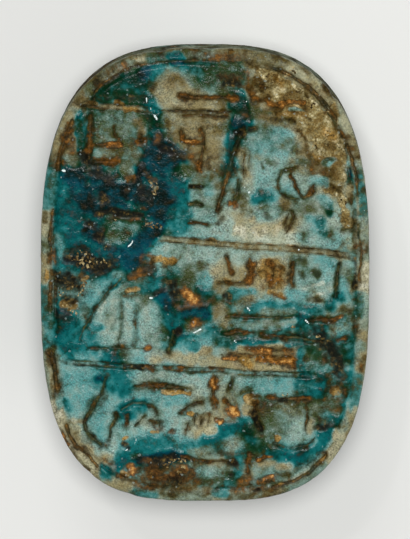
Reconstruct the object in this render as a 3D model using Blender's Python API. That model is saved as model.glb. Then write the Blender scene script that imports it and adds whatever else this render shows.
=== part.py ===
"""Scarab amulet: one pierced block of glazed faience, a beetle carved on a flat plinth.

The amulet lies on its back. Its incised underside faces up (+Z), the small worn flat on
its wing cases rests on the ground at Z = 0, and the beetle's head points along +Y.
Heights of the carving are measured from the underside down to the wing cases, as a
carver would, and turned into Z only when a vertex is placed.
"""

import math

import bmesh
import bpy
import numpy as np
from mathutils import Matrix, Vector

# Driving dimensions, in metres.
LENGTH = 0.0320
WIDTH = 0.0230
HEIGHT = 0.0130
HALF_LENGTH = LENGTH / 2
HALF_WIDTH = WIDTH / 2

# Plan outline of the plinth: a superellipse, a little fuller at the tail.
HEAD_END_POWER = 2.9
TAIL_END_POWER = 3.1

# Plinth and its edges.
PLINTH = 0.26 * HEIGHT
EDGE = 0.00022
EDGE_SCALE = 0.984
LEDGE_SCALE = 0.972

# Torso: fore body and wing cases, one low dome that stands on the band's upper margin.
BAND_SCALE = 0.935
TORSO_HALF_WIDTH = BAND_SCALE * HALF_WIDTH
TORSO_FRONT = 0.68 * HALF_LENGTH
TORSO_TAIL = BAND_SCALE * HALF_LENGTH
MARGIN = 0.47 * HEIGHT
MARGIN_DIP = 0.10 * HEIGHT
WORN_AWAY = 0.00016
CREST = HEIGHT + WORN_AWAY
FRONT_PLAN_POWER = 2.6
DOME_POWER = 2.2
MARGIN_FALL = 0.020
FOOT_BLEND = 0.0009
WAIST = 0.16 * HALF_LENGTH
WAIST_BOW = 0.09 * HALF_LENGTH

# Head, with its broad toothed shield at the front.
HEAD_HALF_WIDTH = 0.46 * HALF_WIDTH
HEAD_ROOT = 0.60 * HALF_LENGTH
HEAD_TIP = 0.95 * HALF_LENGTH
HEAD_HIGH = 0.62 * HEIGHT
HEAD_LOW = 0.36 * HEIGHT
HEAD_POWER = 3.2
CHEEK_LINE = 0.76 * HALF_LENGTH
CHEEK_BOW = 0.05 * HALF_LENGTH
SHIELD_NOTCHES = 4
NOTCH_RADIUS = 0.00030

# Side band between the wing cases and the plinth, where the legs are.
UNDERCUT = 0.024
LEG_RADIUS = 0.00062
LEG_SCALE = 0.944
LEG_END_SHARE = 0.55

# The piercing for a cord or a ring's wire runs from end to end.
PIERCING_RADIUS = 0.0010
PIERCING_HEIGHT = 0.40 * HEIGHT
PIERCING_SIDES = 16

# Incised work on the underside: a border line, three lines that part it into rows, and
# groups of plain strokes in each row. The lines run from side to side and slope a little.
GROOVE_RADIUS = 0.00026
BORDER_INSET = 0.00105
ROW_LINES = ((0.695, 0.665), (0.132, 0.057), (-0.420, -0.475))
STROKE_WIDTH = 0.00058
STROKE_DEPTH = 0.00030
# One line per group of parallel strokes, in millimetres and degrees:
# middle across, middle along, how many, pitch between them, length, turn from the X axis.
STROKE_GROUPS = (
    (0.2, 12.3, 1, 0.0, 3.9, 0),
    (-8.0, 9.0, 1, 0.0, 3.0, 90),
    (-6.4, 8.4, 2, 1.2, 2.0, 0),
    (-4.3, 9.1, 1, 0.0, 1.5, 80),
    (-0.8, 9.1, 2, 1.4, 1.5, 88),
    (-0.8, 7.8, 1, 0.0, 2.0, 0),
    (-0.7, 5.0, 4, 0.95, 1.6, 0),
    (2.1, 7.0, 1, 0.0, 6.2, 74),
    (3.1, 6.8, 1, 0.0, 4.4, 88),
    (5.9, 4.3, 1, 0.0, 1.3, 80),
    (-7.2, -1.9, 1, 0.0, 5.0, 56),
    (-5.3, -3.4, 2, 1.0, 3.0, 86),
    (-5.5, -5.4, 1, 0.0, 4.0, 0),
    (-2.6, -3.8, 1, 0.0, 3.0, 88),
    (4.0, -0.4, 4, 1.35, 1.7, 90),
    (9.3, -1.2, 1, 0.0, 2.4, 84),
    (3.9, -4.6, 3, 1.35, 4.8, -2),
    (8.4, -3.9, 2, 1.3, 2.8, -8),
    (-7.8, -9.7, 1, 0.0, 3.6, 74),
    (-3.0, -8.6, 1, 0.0, 3.6, -3),
    (-5.0, -10.9, 3, 1.1, 2.0, 68),
    (-0.7, -10.8, 5, 0.66, 1.7, 60),
    (1.0, -8.9, 1, 0.0, 1.7, 90),
    (0.6, -13.2, 1, 0.0, 3.4, -4),
    (4.2, -13.2, 1, 0.0, 2.0, 4),
)
# Rings among the strokes: middle across, middle along, half width and half length.
RINGS = ((-6.0, 4.2, 1.8, 1.1), (6.0, 7.0, 1.0, 1.1), (6.5, -10.8, 1.7, 1.7))
RING_RADIUS = 0.00022
MILLIMETRE = 0.001

# Faience: a fired quartz body under a copper-blue glaze.
GLAZE_COLOUR = (0.105, 0.245, 0.235, 1.0)
GLAZE_ROUGHNESS = 0.42
SHARP_ANGLE = math.radians(55)

# Cells of the grid that the back is moulded from, and sides of the tubes.
CELLS_ACROSS = 30
CELLS_ALONG = 42
TUBE_RESOLUTION = 2


def superellipse(x, y, half_width, front, tail, front_power, tail_power):
    """1 on the outline, less inside it: the outline has one power before y = 0 and one behind."""
    power = np.where(y > 0, front_power, tail_power)
    reach = np.where(y > 0, front, tail)
    return (np.abs(x / half_width) ** power + np.abs(y / reach) ** power) ** (1 / power)


def plinth_gauge(x, y):
    return superellipse(
        x, y, HALF_WIDTH, HALF_LENGTH, HALF_LENGTH, HEAD_END_POWER, TAIL_END_POWER
    )


def dome(gauge, power):
    """Height of a rounded dome over its own outline: 1 in the middle, 0 at gauge 1."""
    return (1 - np.clip(gauge, 0, 1) ** power) ** (1 / power)


def torso_height(x, y):
    """The dome over its margin, which dips towards the tail. Past its edge the side falls steeply."""
    gauge = superellipse(
        x, y, TORSO_HALF_WIDTH, TORSO_FRONT, TORSO_TAIL, FRONT_PLAN_POWER, TAIL_END_POWER
    )
    margin = MARGIN - MARGIN_DIP * np.clip(-y / HALF_LENGTH, 0, 1) ** 2
    past_edge = np.clip(gauge - 1, 0, None)
    return margin + (CREST - margin) * dome(gauge, DOME_POWER) - MARGIN_FALL * past_edge


def head_height(x, y):
    """A rounded wedge that slopes forward from its root, which lies inside the torso."""
    along = (y - HEAD_ROOT) / (HEAD_TIP - HEAD_ROOT)
    gauge = (np.abs(x / HEAD_HALF_WIDTH) ** HEAD_POWER + np.abs(along) ** HEAD_POWER) ** (
        1 / HEAD_POWER
    )
    slope = HEAD_HIGH + (HEAD_LOW - HEAD_HIGH) * np.clip(along, 0, 1)
    return PLINTH + (slope - PLINTH) * dome(gauge, HEAD_POWER)


def blend(one, other):
    """The greater of two heights, with a small fillet where they meet."""
    return (one + other + np.sqrt((one - other) ** 2 + FOOT_BLEND**2)) / 2


def back_height(x, y):
    """Height of the beetle's back above the underside, worn flat at its top."""
    raised = blend(torso_height(x, y), head_height(x, y))
    return np.clip(blend(raised, PLINTH - FOOT_BLEND / 4), PLINTH, HEIGHT)


def on_outline(a, b):
    """The point of the plinth's outline in the direction of (a, b) on a unit square's rim."""
    x, y = a * HALF_WIDTH, b * HALF_LENGTH
    gauge = plinth_gauge(x, y)
    return x / gauge, y / gauge


def place(x, y, height):
    return Vector((float(x), float(y), float(HEIGHT - height)))


def new_object(name, mesh, collection):
    made = bpy.data.objects.new(name, mesh)
    collection.objects.link(made)
    return made


def as_cutter(made):
    made.hide_render = True
    made.display_type = "WIRE"
    return made


def tube(name, points, radius, collection, closed=False, end_share=1.0):
    """A round bar along the points, as one closed mesh with welded ends, thinner at its ends where asked."""
    curve = bpy.data.curves.new(name, "CURVE")
    curve.dimensions = "3D"
    curve.bevel_depth = radius
    curve.bevel_resolution = TUBE_RESOLUTION
    curve.use_fill_caps = not closed
    spline = curve.splines.new("POLY")
    spline.points.add(len(points) - 1)
    for index, (knot, point) in enumerate(zip(spline.points, points)):
        knot.co = (*point, 1)
        swell = math.sin(math.pi * index / (len(points) - 1))
        knot.radius = end_share + (1 - end_share) * min(1.0, 2 * swell)
    spline.use_cyclic_u = closed
    drawn = new_object(name + "_line", curve, collection)
    graph = bpy.context.evaluated_depsgraph_get()
    mesh = bpy.data.meshes.new_from_object(drawn.evaluated_get(graph))
    bpy.data.objects.remove(drawn)
    welded = bmesh.new()
    welded.from_mesh(mesh)
    bmesh.ops.remove_doubles(welded, verts=welded.verts, dist=radius / 50)
    bmesh.ops.recalc_face_normals(welded, faces=welded.faces)
    welded.to_mesh(mesh)
    welded.free()
    return new_object(name, mesh, collection)


def smooth_path(knots, steps):
    """Points of a Catmull-Rom curve through the knots, with steps points to each span."""
    ends = [2 * knots[0] - knots[1], *knots, 2 * knots[-1] - knots[-2]]
    path = []
    for before, start, stop, after in zip(ends, ends[1:], ends[2:], ends[3:]):
        for step in range(steps):
            t = step / steps
            path.append(
                start
                + (stop - before) * (t / 2)
                + (2 * before - 5 * start + 4 * stop - after) * (t * t / 2)
                + (3 * start - before - 3 * stop + after) * (t**3 / 2)
            )
    return [*path, knots[-1]]


def mould_block(collection):
    """The block: a grid moulded into the back, its rim carried down round the plinth, and a flat underside."""
    shape = bmesh.new()
    bmesh.ops.create_grid(shape, x_segments=CELLS_ACROSS, y_segments=CELLS_ALONG, size=1)
    for vertex in shape.verts:
        a, b, _ = vertex.co
        ring = max(abs(a), abs(b))
        if ring < 1e-6:
            vertex.co = place(0, 0, back_height(0.0, 0.0))
            continue
        x, y = on_outline(a / ring, b / ring)
        spread = math.sin(ring * math.pi / 2) * BAND_SCALE
        x, y = x * spread, y * spread
        vertex.co = place(x, y, back_height(x, y))
    rim = [edge for edge in shape.edges if edge.is_boundary]
    for profile in band_profile():
        grown = bmesh.ops.extrude_edge_only(shape, edges=rim)["geom"]
        rim = [item for item in grown if isinstance(item, bmesh.types.BMEdge)]
        for vertex in {corner for edge in rim for corner in edge.verts}:
            x, y = vertex.co.x, vertex.co.y
            gauge = plinth_gauge(x, y)
            x, y = x / gauge, y / gauge
            scale, height = profile(back_height(x * BAND_SCALE, y * BAND_SCALE))
            vertex.co = place(x * scale, y * scale, height)
    bmesh.ops.contextual_create(shape, geom=rim)
    bmesh.ops.recalc_face_normals(shape, faces=shape.faces)
    mesh = bpy.data.meshes.new("scarab")
    shape.to_mesh(mesh)
    shape.free()
    return new_object("scarab", mesh, collection)


def band_profile():
    """Steps from the back's rim to the underside, each giving outline scale and height there."""

    def undercut(share, outward):
        def step(rim_height):
            standing = np.clip((rim_height - PLINTH) / (MARGIN - PLINTH), 0, 1)
            scale = BAND_SCALE + outward * (1 - standing) - UNDERCUT * standing
            return scale, PLINTH + share * (rim_height - PLINTH)

        return step

    return (
        undercut(0.70, 0.010),
        undercut(0.16, 0.022),
        lambda rim_height: (LEDGE_SCALE, PLINTH),
        lambda rim_height: (1.0, PLINTH - EDGE),
        lambda rim_height: (1.0, EDGE),
        lambda rim_height: (EDGE_SCALE, 0.0),
    )


def side_point(along, height, scale, side):
    """A point over the plinth's edge on one side, at a share of the half length and of the height."""
    y = along * HALF_LENGTH
    power = HEAD_END_POWER if y > 0 else TAIL_END_POWER
    x = HALF_WIDTH * (1 - min(abs(along), 1.0) ** power) ** (1 / power)
    return place(side * x * scale, y * scale, height * HEIGHT)


def legs(collection):
    """Three folded legs a side: middle and hind legs on the band, front legs beside the head."""
    made = []
    for side, side_name in ((1, "right"), (-1, "left")):
        middle = [
            side_point(0.30, 0.45, LEG_SCALE, side),
            side_point(0.12, 0.40, LEG_SCALE, side),
            side_point(-0.10, 0.31, LEG_SCALE, side),
        ]
        hind = [
            side_point(-0.16, 0.46, LEG_SCALE, side),
            side_point(-0.40, 0.40, LEG_SCALE, side),
            side_point(-0.64, 0.33, LEG_SCALE, side),
            side_point(-0.84, 0.29, LEG_SCALE, side),
        ]
        front = [
            place(side * 0.80 * HALF_WIDTH, 0.38 * HALF_LENGTH, 0.40 * HEIGHT),
            place(side * 0.78 * HALF_WIDTH, 0.56 * HALF_LENGTH, 0.31 * HEIGHT),
            place(side * 0.64 * HALF_WIDTH, 0.76 * HALF_LENGTH, 0.29 * HEIGHT),
            place(side * 0.36 * HALF_WIDTH, 0.90 * HALF_LENGTH, 0.28 * HEIGHT),
        ]
        for name, knots in (("middle", middle), ("hind", hind), ("front", front)):
            made.append(
                tube(
                    f"{name}_leg_{side_name}",
                    smooth_path(knots, 4),
                    LEG_RADIUS,
                    collection,
                    end_share=LEG_END_SHARE,
                )
            )
    return made


def over_back(x, y, lift=0.0):
    return place(x, y, float(back_height(x, y)) + lift)


def back_grooves(collection):
    """The lines that part the wing cases from each other and from the fore body."""
    lift = GROOVE_RADIUS * 0.25
    split_steps = np.linspace(WAIST + WAIST_BOW, -0.92 * HALF_LENGTH, 18)
    split = [over_back(0.0, y, lift) for y in split_steps]
    waist = []
    for share in np.linspace(-0.965, 0.965, 23):
        x = share * TORSO_HALF_WIDTH
        waist.append(over_back(x, WAIST + WAIST_BOW * (1 - share * share), lift))
    cheek = []
    for share in np.linspace(-0.92, 0.92, 9):
        along = CHEEK_LINE + CHEEK_BOW * (1 - share * share)
        cheek.append(over_back(share * HEAD_HALF_WIDTH, along, lift))
    return [
        tube("wing_case_split", split, GROOVE_RADIUS, collection),
        tube("waist_line", waist, GROOVE_RADIUS, collection),
        tube("cheek_line", cheek, GROOVE_RADIUS, collection),
    ]


def shield_notches(collection):
    """Small upright notches that tooth the front edge of the head."""
    made = []
    for index in range(SHIELD_NOTCHES):
        share = -0.60 + 1.20 * index / (SHIELD_NOTCHES - 1)
        x = share * HEAD_HALF_WIDTH
        reach = (1 - abs(share) ** HEAD_POWER) ** (1 / HEAD_POWER)
        y = HEAD_ROOT + (HEAD_TIP - HEAD_ROOT) * reach
        points = [place(x, y, PLINTH + NOTCH_RADIUS / 2), place(x, y, HEAD_HIGH)]
        made.append(tube(f"shield_notch_{index + 1}", points, NOTCH_RADIUS, collection))
    return made


def spindle(name, start, stop, width, depth, collection):
    """A boat-shaped gouge between two points of the underside, pointed at both ends."""
    start, stop = Vector(start), Vector(stop)
    length = (stop - start).length
    shape = bmesh.new()
    bmesh.ops.create_uvsphere(shape, u_segments=6, v_segments=4, radius=0.5)
    turn = math.atan2(stop.y - start.y, stop.x - start.x)
    middle = (start + stop) / 2
    bmesh.ops.transform(
        shape,
        verts=shape.verts,
        matrix=Matrix.Translation((middle.x, middle.y, HEIGHT))
        @ Matrix.Rotation(turn, 4, "Z")
        @ Matrix.Diagonal((length, width, 2 * depth, 1))
        @ Matrix.Rotation(math.pi / 2, 4, "Y"),
    )
    mesh = bpy.data.meshes.new(name)
    shape.to_mesh(mesh)
    shape.free()
    return new_object(name, mesh, collection)


def border_line(collection):
    """The line incised all round the underside, a fixed distance inside its edge."""
    points = []
    for turn in np.linspace(0, 2 * math.pi, 72, endpoint=False):
        x, y = on_outline(math.cos(turn), math.sin(turn))
        inward = 1 - BORDER_INSET / math.hypot(x, y)
        points.append((x * inward, y * inward, HEIGHT + GROOVE_RADIUS * 0.2))
    return tube("border_line", points, GROOVE_RADIUS, collection, closed=True)


def row_lines(collection):
    """The lines that part the underside into rows, each from border to border."""
    made = []
    scale = 1 - BORDER_INSET / HALF_WIDTH
    for index, (left_along, right_along) in enumerate(ROW_LINES):
        left = side_point(left_along / scale, 0.0, scale, -1)
        right = side_point(right_along / scale, 0.0, scale, 1)
        rise = Vector((0, 0, GROOVE_RADIUS * 0.2))
        made.append(tube(f"row_line_{index + 1}", [left + rise, right + rise], GROOVE_RADIUS, collection))
    return made


def strokes(collection):
    """Groups of short parallel gouges, spread to either side of each group's middle."""
    made = []
    for across, along, count, pitch, length, turn in STROKE_GROUPS:
        heading = math.radians(turn)
        reach = Vector((math.cos(heading), math.sin(heading))) * (length / 2 * MILLIMETRE)
        aside = Vector((-math.sin(heading), math.cos(heading))) * (pitch * MILLIMETRE)
        middle = Vector((across, along)) * MILLIMETRE
        for index in range(count):
            centre = middle + aside * (index - (count - 1) / 2)
            name = f"stroke_{len(made) + 1}"
            made.append(
                spindle(name, centre - reach, centre + reach, STROKE_WIDTH, STROKE_DEPTH, collection)
            )
    return made


def rings(collection):
    made = []
    for index, (across, along, half_across, half_along) in enumerate(RINGS):
        points = []
        for turn in np.linspace(0, 2 * math.pi, 16, endpoint=False):
            x = (across + half_across * math.cos(turn)) * MILLIMETRE
            y = (along + half_along * math.sin(turn)) * MILLIMETRE
            points.append((x, y, HEIGHT + RING_RADIUS * 0.1))
        made.append(tube(f"ring_{index + 1}", points, RING_RADIUS, collection, closed=True))
    return made


def piercing(collection):
    shape = bmesh.new()
    bmesh.ops.create_cone(
        shape,
        cap_ends=True,
        segments=PIERCING_SIDES,
        radius1=PIERCING_RADIUS,
        radius2=PIERCING_RADIUS,
        depth=LENGTH * 1.2,
        matrix=Matrix.Translation((0, 0, HEIGHT - PIERCING_HEIGHT))
        @ Matrix.Rotation(math.pi / 2, 4, "X"),
    )
    mesh = bpy.data.meshes.new("piercing")
    shape.to_mesh(mesh)
    shape.free()
    return new_object("piercing", mesh, collection)


def combine(target, operation, source):
    change = target.modifiers.new(operation.lower(), "BOOLEAN")
    change.operation = operation
    change.operand_type = "COLLECTION"
    change.collection = source
    change.solver = "MANIFOLD"


def glazed_faience():
    material = bpy.data.materials.new("glazed_faience")
    material.use_nodes = True
    shader = material.node_tree.nodes["Principled BSDF"]
    shader.inputs["Base Color"].default_value = GLAZE_COLOUR
    shader.inputs["Roughness"].default_value = GLAZE_ROUGHNESS
    shader.inputs["Metallic"].default_value = 0.0
    material.diffuse_color = GLAZE_COLOUR
    return material


def smooth(made):
    made.data.shade_smooth()
    made.data.set_sharp_from_angle(angle=SHARP_ANGLE)


def main():
    for old in list(bpy.data.objects):
        bpy.data.objects.remove(old)
    parts = bpy.data.collections.new("scarab_amulet")
    added = bpy.data.collections.new("scarab_added_forms")
    cutters = bpy.data.collections.new("scarab_cutters")
    for collection in (parts, added, cutters):
        bpy.context.scene.collection.children.link(collection)
    block = mould_block(parts)
    block.data.materials.append(glazed_faience())
    smooth(block)
    for leg in legs(added):
        smooth(as_cutter(leg))
    incised = [border_line(cutters), *row_lines(cutters), *strokes(cutters), *rings(cutters)]
    for cut in [*back_grooves(cutters), *shield_notches(cutters), piercing(cutters), *incised]:
        smooth(as_cutter(cut))
    combine(block, "UNION", added)
    combine(block, "DIFFERENCE", cutters)


main()
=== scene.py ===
import math

import bmesh
import bpy
import numpy as np
from mathutils import Matrix, Vector


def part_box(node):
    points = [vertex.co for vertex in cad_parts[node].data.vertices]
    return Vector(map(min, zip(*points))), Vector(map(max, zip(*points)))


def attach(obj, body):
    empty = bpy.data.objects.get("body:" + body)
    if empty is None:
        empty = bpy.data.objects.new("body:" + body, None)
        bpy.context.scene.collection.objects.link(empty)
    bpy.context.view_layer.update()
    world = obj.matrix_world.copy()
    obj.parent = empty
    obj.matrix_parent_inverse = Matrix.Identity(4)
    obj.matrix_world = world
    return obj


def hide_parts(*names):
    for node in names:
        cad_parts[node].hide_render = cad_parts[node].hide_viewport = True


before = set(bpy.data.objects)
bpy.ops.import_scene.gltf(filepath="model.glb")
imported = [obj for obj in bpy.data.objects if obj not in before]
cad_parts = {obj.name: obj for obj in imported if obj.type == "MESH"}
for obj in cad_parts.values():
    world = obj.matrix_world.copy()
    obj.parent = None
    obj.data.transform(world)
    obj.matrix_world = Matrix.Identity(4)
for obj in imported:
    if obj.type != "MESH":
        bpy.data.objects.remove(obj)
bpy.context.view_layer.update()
boxLow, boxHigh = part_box("scarab")
mm = 0.001

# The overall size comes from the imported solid, and everything else here hangs on it.
scarabSize = {
    "halfWidth": (boxHigh.x - boxLow.x) / 2 / mm,
    "halfLength": (boxHigh.y - boxLow.y) / 2 / mm,
    "height": (boxHigh.z - boxLow.z) / mm,
}
halfWidth = scarabSize["halfWidth"]
halfLength = scarabSize["halfLength"]
height = scarabSize["height"]

# The block, in millimetres or in shares of the half width, half length or height.
blockForm = {
    "cellsAcross": 216,
    "cellsAlong": 300,
    "headEndPower": 2.9,
    "tailEndPower": 3.1,
    "plinth": 0.26 * height,
    "faceScale": 0.976,
    "ledgeScale": 0.972,
    "bandScale": 0.935,
    "undercut": 0.024,
    "margin": 0.47 * height,
    "marginDip": 0.1 * height,
    "crest": height + 0.16,
    "torsoFront": 0.68,
    "frontPower": 2.6,
    "domePower": 2.2,
    "marginFall": 20.0,
    "footBlend": 0.9,
    "waist": 0.16 * halfLength,
    "waistBow": 0.09 * halfLength,
    "headHalfWidth": 0.46,
    "headRoot": 0.6,
    "headTip": 0.95,
    "headHigh": 0.62 * height,
    "headLow": 0.36 * height,
    "headPower": 3.2,
    "legRadius": 0.62,
    "legScale": 0.944,
    "piercingRadius": 1.0,
    "piercingHeight": 0.4 * height,
    "piercingSides": 40,
}


def ease(value):
    # 3 v squared - 2 v cubed, held between 0 and 1.
    value = np.clip(value, 0, 1)
    return value * value * (3 - 2 * value)


# large odd numbers that scramble a lattice corner's place
scramble = {"seed": 668265263, "axes": (374761393, 1103515245, 73856093), "last": 1274126177}


def latticeNoise(points, pitch, seed):
    # Value noise from -1 to 1: a number scrambled out of each lattice corner's place and the
    # seed, eased from corner to corner.
    cell = points / pitch + 1000.37
    corner0 = np.floor(cell).astype(np.int64)
    part = cell - corner0
    part = part * part * (3 - 2 * part)
    total = np.zeros(len(points))
    for step in np.ndindex(*(2,) * points.shape[1]):
        step = np.array(step)
        corner = corner0 + step
        mixed = np.full(len(points), seed * scramble["seed"], np.int64)
        for axis, prime in zip(range(points.shape[1]), scramble["axes"]):
            mixed = mixed ^ (corner[:, axis] * prime)
        mixed = (mixed ^ (mixed >> 13)) * scramble["last"]
        mixed = (mixed ^ (mixed >> 16)) & 0xFFFF
        weight = np.prod(np.where(step, part, 1 - part), axis=1)
        total += weight * mixed
    return total / 32767.5 - 1


def layeredNoise(points, pitch, seed, layers=3):
    # Each layer has half the pitch and half the strength of the one before.
    total = np.zeros(len(points))
    for layer in range(layers):
        total += latticeNoise(points, pitch / 2**layer, seed + 17 * layer) / 2**layer
    return total


def distanceToPath(x, y, path):
    # The least distance from each point to the straight runs between the path's points, and the
    # share of the whole path at which it is reached.
    near = np.full(len(x), 1e9)
    share = np.zeros(len(x))
    runs = list(zip(path, path[1:])) or [(path[0], path[0])]
    lengths = [math.dist(start, stop) for start, stop in runs]
    whole = sum(lengths) or 1.0
    gone = 0.0
    for (start, stop), length in zip(runs, lengths):
        dx, dy = stop[0] - start[0], stop[1] - start[1]
        along = ((x - start[0]) * dx + (y - start[1]) * dy) / (length * length or 1.0)
        along = np.clip(along, 0, 1)
        away = np.hypot(x - start[0] - along * dx, y - start[1] - along * dy)
        closer = away < near
        near = np.where(closer, away, near)
        share = np.where(closer, (gone + along * length) / whole, share)
        gone += length
    return near, share


# The underside. Places are millimetres on the worker's layout: +x right, +y to the head end.
# A stroke is its half width, its depth, then the places it runs through.
strokeMarks = (
    (0.2, 0.2, -8.6, 11.4, -7.2, 11.3),
    (0.15, 0.2, -3.2, 11.15, -1.9, 11.13, 0.1, 11.05, 1.7, 10.95),
    (0.13, 0.18, -2, 10.78, 0, 10.72, 1.6, 10.62),
    (0.2, 0.24, -1.8, 12.15, -0.6, 11.95, 0.2, 12, 2.1, 11.95),
    (0.24, 0.24, -8.05, 10.8, -8.1, 9.2, -8.05, 7.8), (0.2, 0.22, -7.7, 7.5, -6.2, 7.45),
    (0.15, 0.18, -7.7, 8.8, -6.9, 8.75, -5.8, 8.8), (0.16, 0.18, -6.4, 9.9, -6.15, 9.2, -5.8, 9.1),
    (0.22, 0.24, -4.7, 9.05, -4.3, 9.2), (0.18, 0.24, -1.7, 9.8, -1.65, 8.9, -1.2, 8.75, -0.2, 8.7),
    (0.18, 0.24, -0.15, 9.8, -0.1, 8.7, -0.3, 7.6, -0.5, 6.9), (0.15, 0.22, -1, 5.88, -0.1, 5.8),
    (0.15, 0.2, -1.1, 4.55, -0.1, 4.45), (0.15, 0.2, -1.1, 3.2, 0.1, 3.1),
    (0.22, 0.24, 2.7, 9.9, 2.1, 8.4, 1.65, 6.8, 1.25, 5.4, 0.9, 4.1),
    (0.14, 0.14, 2.75, 8.1, 2.65, 6.6), (0.14, 0.14, 3.1, 8, 3.1, 7.1),
    (0.2, 0.2, 2.3, 6.3, 2.2, 5.3, 1.9, 4.4),
    (0.15, 0.17, 6.2, 7.1, 5.45, 6.9, 5.1, 6.1, 5.2, 5.4, 5.8, 4.95, 6.6, 4.9),
    (0.14, 0.22, 6.05, 6.6, 6.4, 6, 6.6, 5.3, 6.95, 4.95),
    (0.18, 0.22, 6.95, 4.95, 7.45, 5.2, 7.65, 5.9),
    (0.13, 0.18, 6.05, 4.1, 6.3, 3.6, 5.9, 2.8, 5.7, 2.5),
    (0.12, 0.16, 5.95, 3.9, 5.65, 3.3, 5.6, 2.7),
    (0.13, 0.17, -5.9, -0.6, -6.9, -1.8, -8, -3.4, -8.5, -4.1, -8.8, -5),
    (0.09, 0.12, -6.2, -0.3, -6.7, -1.1, -7.2, -1.9),
    (0.12, 0.13, -5.75, -2.3, -5.9, -3.6, -6.15, -5),
    (0.12, 0.13, -4.8, -2.6, -4.9, -4, -4.95, -5.5),
    (0.12, 0.14, -8.2, -5.6, -6.4, -5.55, -3.9, -5.6), (0.16, 0.18, -2.35, -4.2, -2.6, -6),
    (0.18, 0.18, 1.5, 0.8, 1.9, -0.3), (0.2, 0.24, 3.2, 0.8, 3.35, 0, 3.2, -0.8),
    (0.13, 0.16, 4.6, 0.5, 4.9, -0.4, 4.6, -1.2), (0.11, 0.14, 5.5, 0.1, 5.2, -1),
    (0.18, 0.22, 6.2, 0.4, 6.15, -1), (0.14, 0.16, 0.9, -0.9, 2, -0.95, 3, -0.75),
    (0.18, 0.22, 9.4, 0.4, 9.3, -0.8, 9.15, -2), (0.15, 0.18, 1.4, -3.3, 3.4, -3.4, 6.4, -3.42),
    (0.15, 0.22, 1.2, -4.55, 2.4, -4.5, 3.4, -4.6),
    (0.15, 0.22, 3.9, -4.6, 5.4, -4.75, 6.8, -4.9, 8.2, -5.1),
    (0.16, 0.18, 3, -5.5, 4.5, -5.7, 6, -5.7), (0.1, 0.16, 1.2, -5.98, 3.6, -6.1, 6.1, -6.1),
    (0.1, 0.16, 3.6, -6.4, 4.8, -6.45, 6.2, -6.5, 6.3, -7),
    (0.16, 0.18, 7.4, -3.6, 8.6, -3.65, 9.7, -3.4), (0.16, 0.18, 9.2, -5.1, 9.9, -5),
    (0.22, 0.24, -7.1, -7.6, -7.2, -8.8, -8, -9.8, -8.5, -10.7, -8.4, -11.4, -8, -11.9, -7.4,
        -12.3),
    (0.2, 0.24, -4.9, -8.2, -2.5, -8.25, -1, -8.42),
    (0.18, 0.2, -6.8, -12, -6.6, -10.9, -6.25, -10),
    (0.2, 0.2, -5.9, -9.8, -5, -9.35, -4.2, -9.35, -3.55, -9.7, -3.4, -10.2),
    (0.2, 0.18, -5.45, -10.1, -5.6, -10.8), (0.13, 0.14, -4.9, -10.95, -4.2, -10.35),
    (0.17, 0.18, -3.9, -10.7, -3.3, -10.9, -3.1, -11.4),
    (0.17, 0.18, -1.8, -10.1, -1.1, -9.6, -0.2, -9.35), (0.13, 0.18, -1.35, -11.4, -1.2, -10.8),
    (0.12, 0.18, -0.85, -10.9, -0.65, -10.2), (0.12, 0.18, -0.35, -10.9, -0.1, -10.1),
    (0.12, 0.18, 0.15, -10.8, 0.35, -10.1), (0.2, 0.24, 0.65, -7.7, 0.6, -8.4, 0.75, -9.7),
    (0.16, 0.18, 1.9, -7.4, 1.75, -8.4), (0.16, 0.18, 1.5, -9.2, 2.2, -9.9),
    (0.15, 0.18, -1.5, -13.2, 0, -13.55, 1.4, -13.7), (0.12, 0.14, 0.2, -13, 1.3, -13.2),
    (0.15, 0.22, 3.1, -13.05, 3.05, -14.4), (0.16, 0.2, 3, -13, 3.8, -13.45, 4.8, -13.1),
    (0.24, 0.24, 3.5, -9.6, 3.7, -10.6, 4, -11.4), (0.18, 0.18, 4.3, -9.05, 5.6, -9.1, 7.2, -9.1),
    (0.15, 0.2, 7.2, -9.6, 7.1, -11.3), (0.12, 0.16, 4.9, -12.1, 5.8, -12.6, 7, -12.4, 7.8, -11.8),
)
# The long lines between the rows are scored twice, side by side, with a low band between: paint
# of the band, its half width, its depth and places.
scoredLines = (
    ("tan", 0.15, 0.12, -8.8, 11.55, -7, 11.4, -4.2, 11.18, -3.2, 11.05),
    ("straw", 0.17, 0.16, -3.6, 2.18, -1.4, 1.98, 0, 1.84, 3, 1.63, 6, 1.38, 8.2, 1.2, 10.5, 0.93),
    ("green", 0.14, 0.16, -10.3, -6.45, -7.5, -6.68, -4.3, -6.92, 0, -7.08, 3.6, -7.32, 8, -7.46),
)
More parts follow.
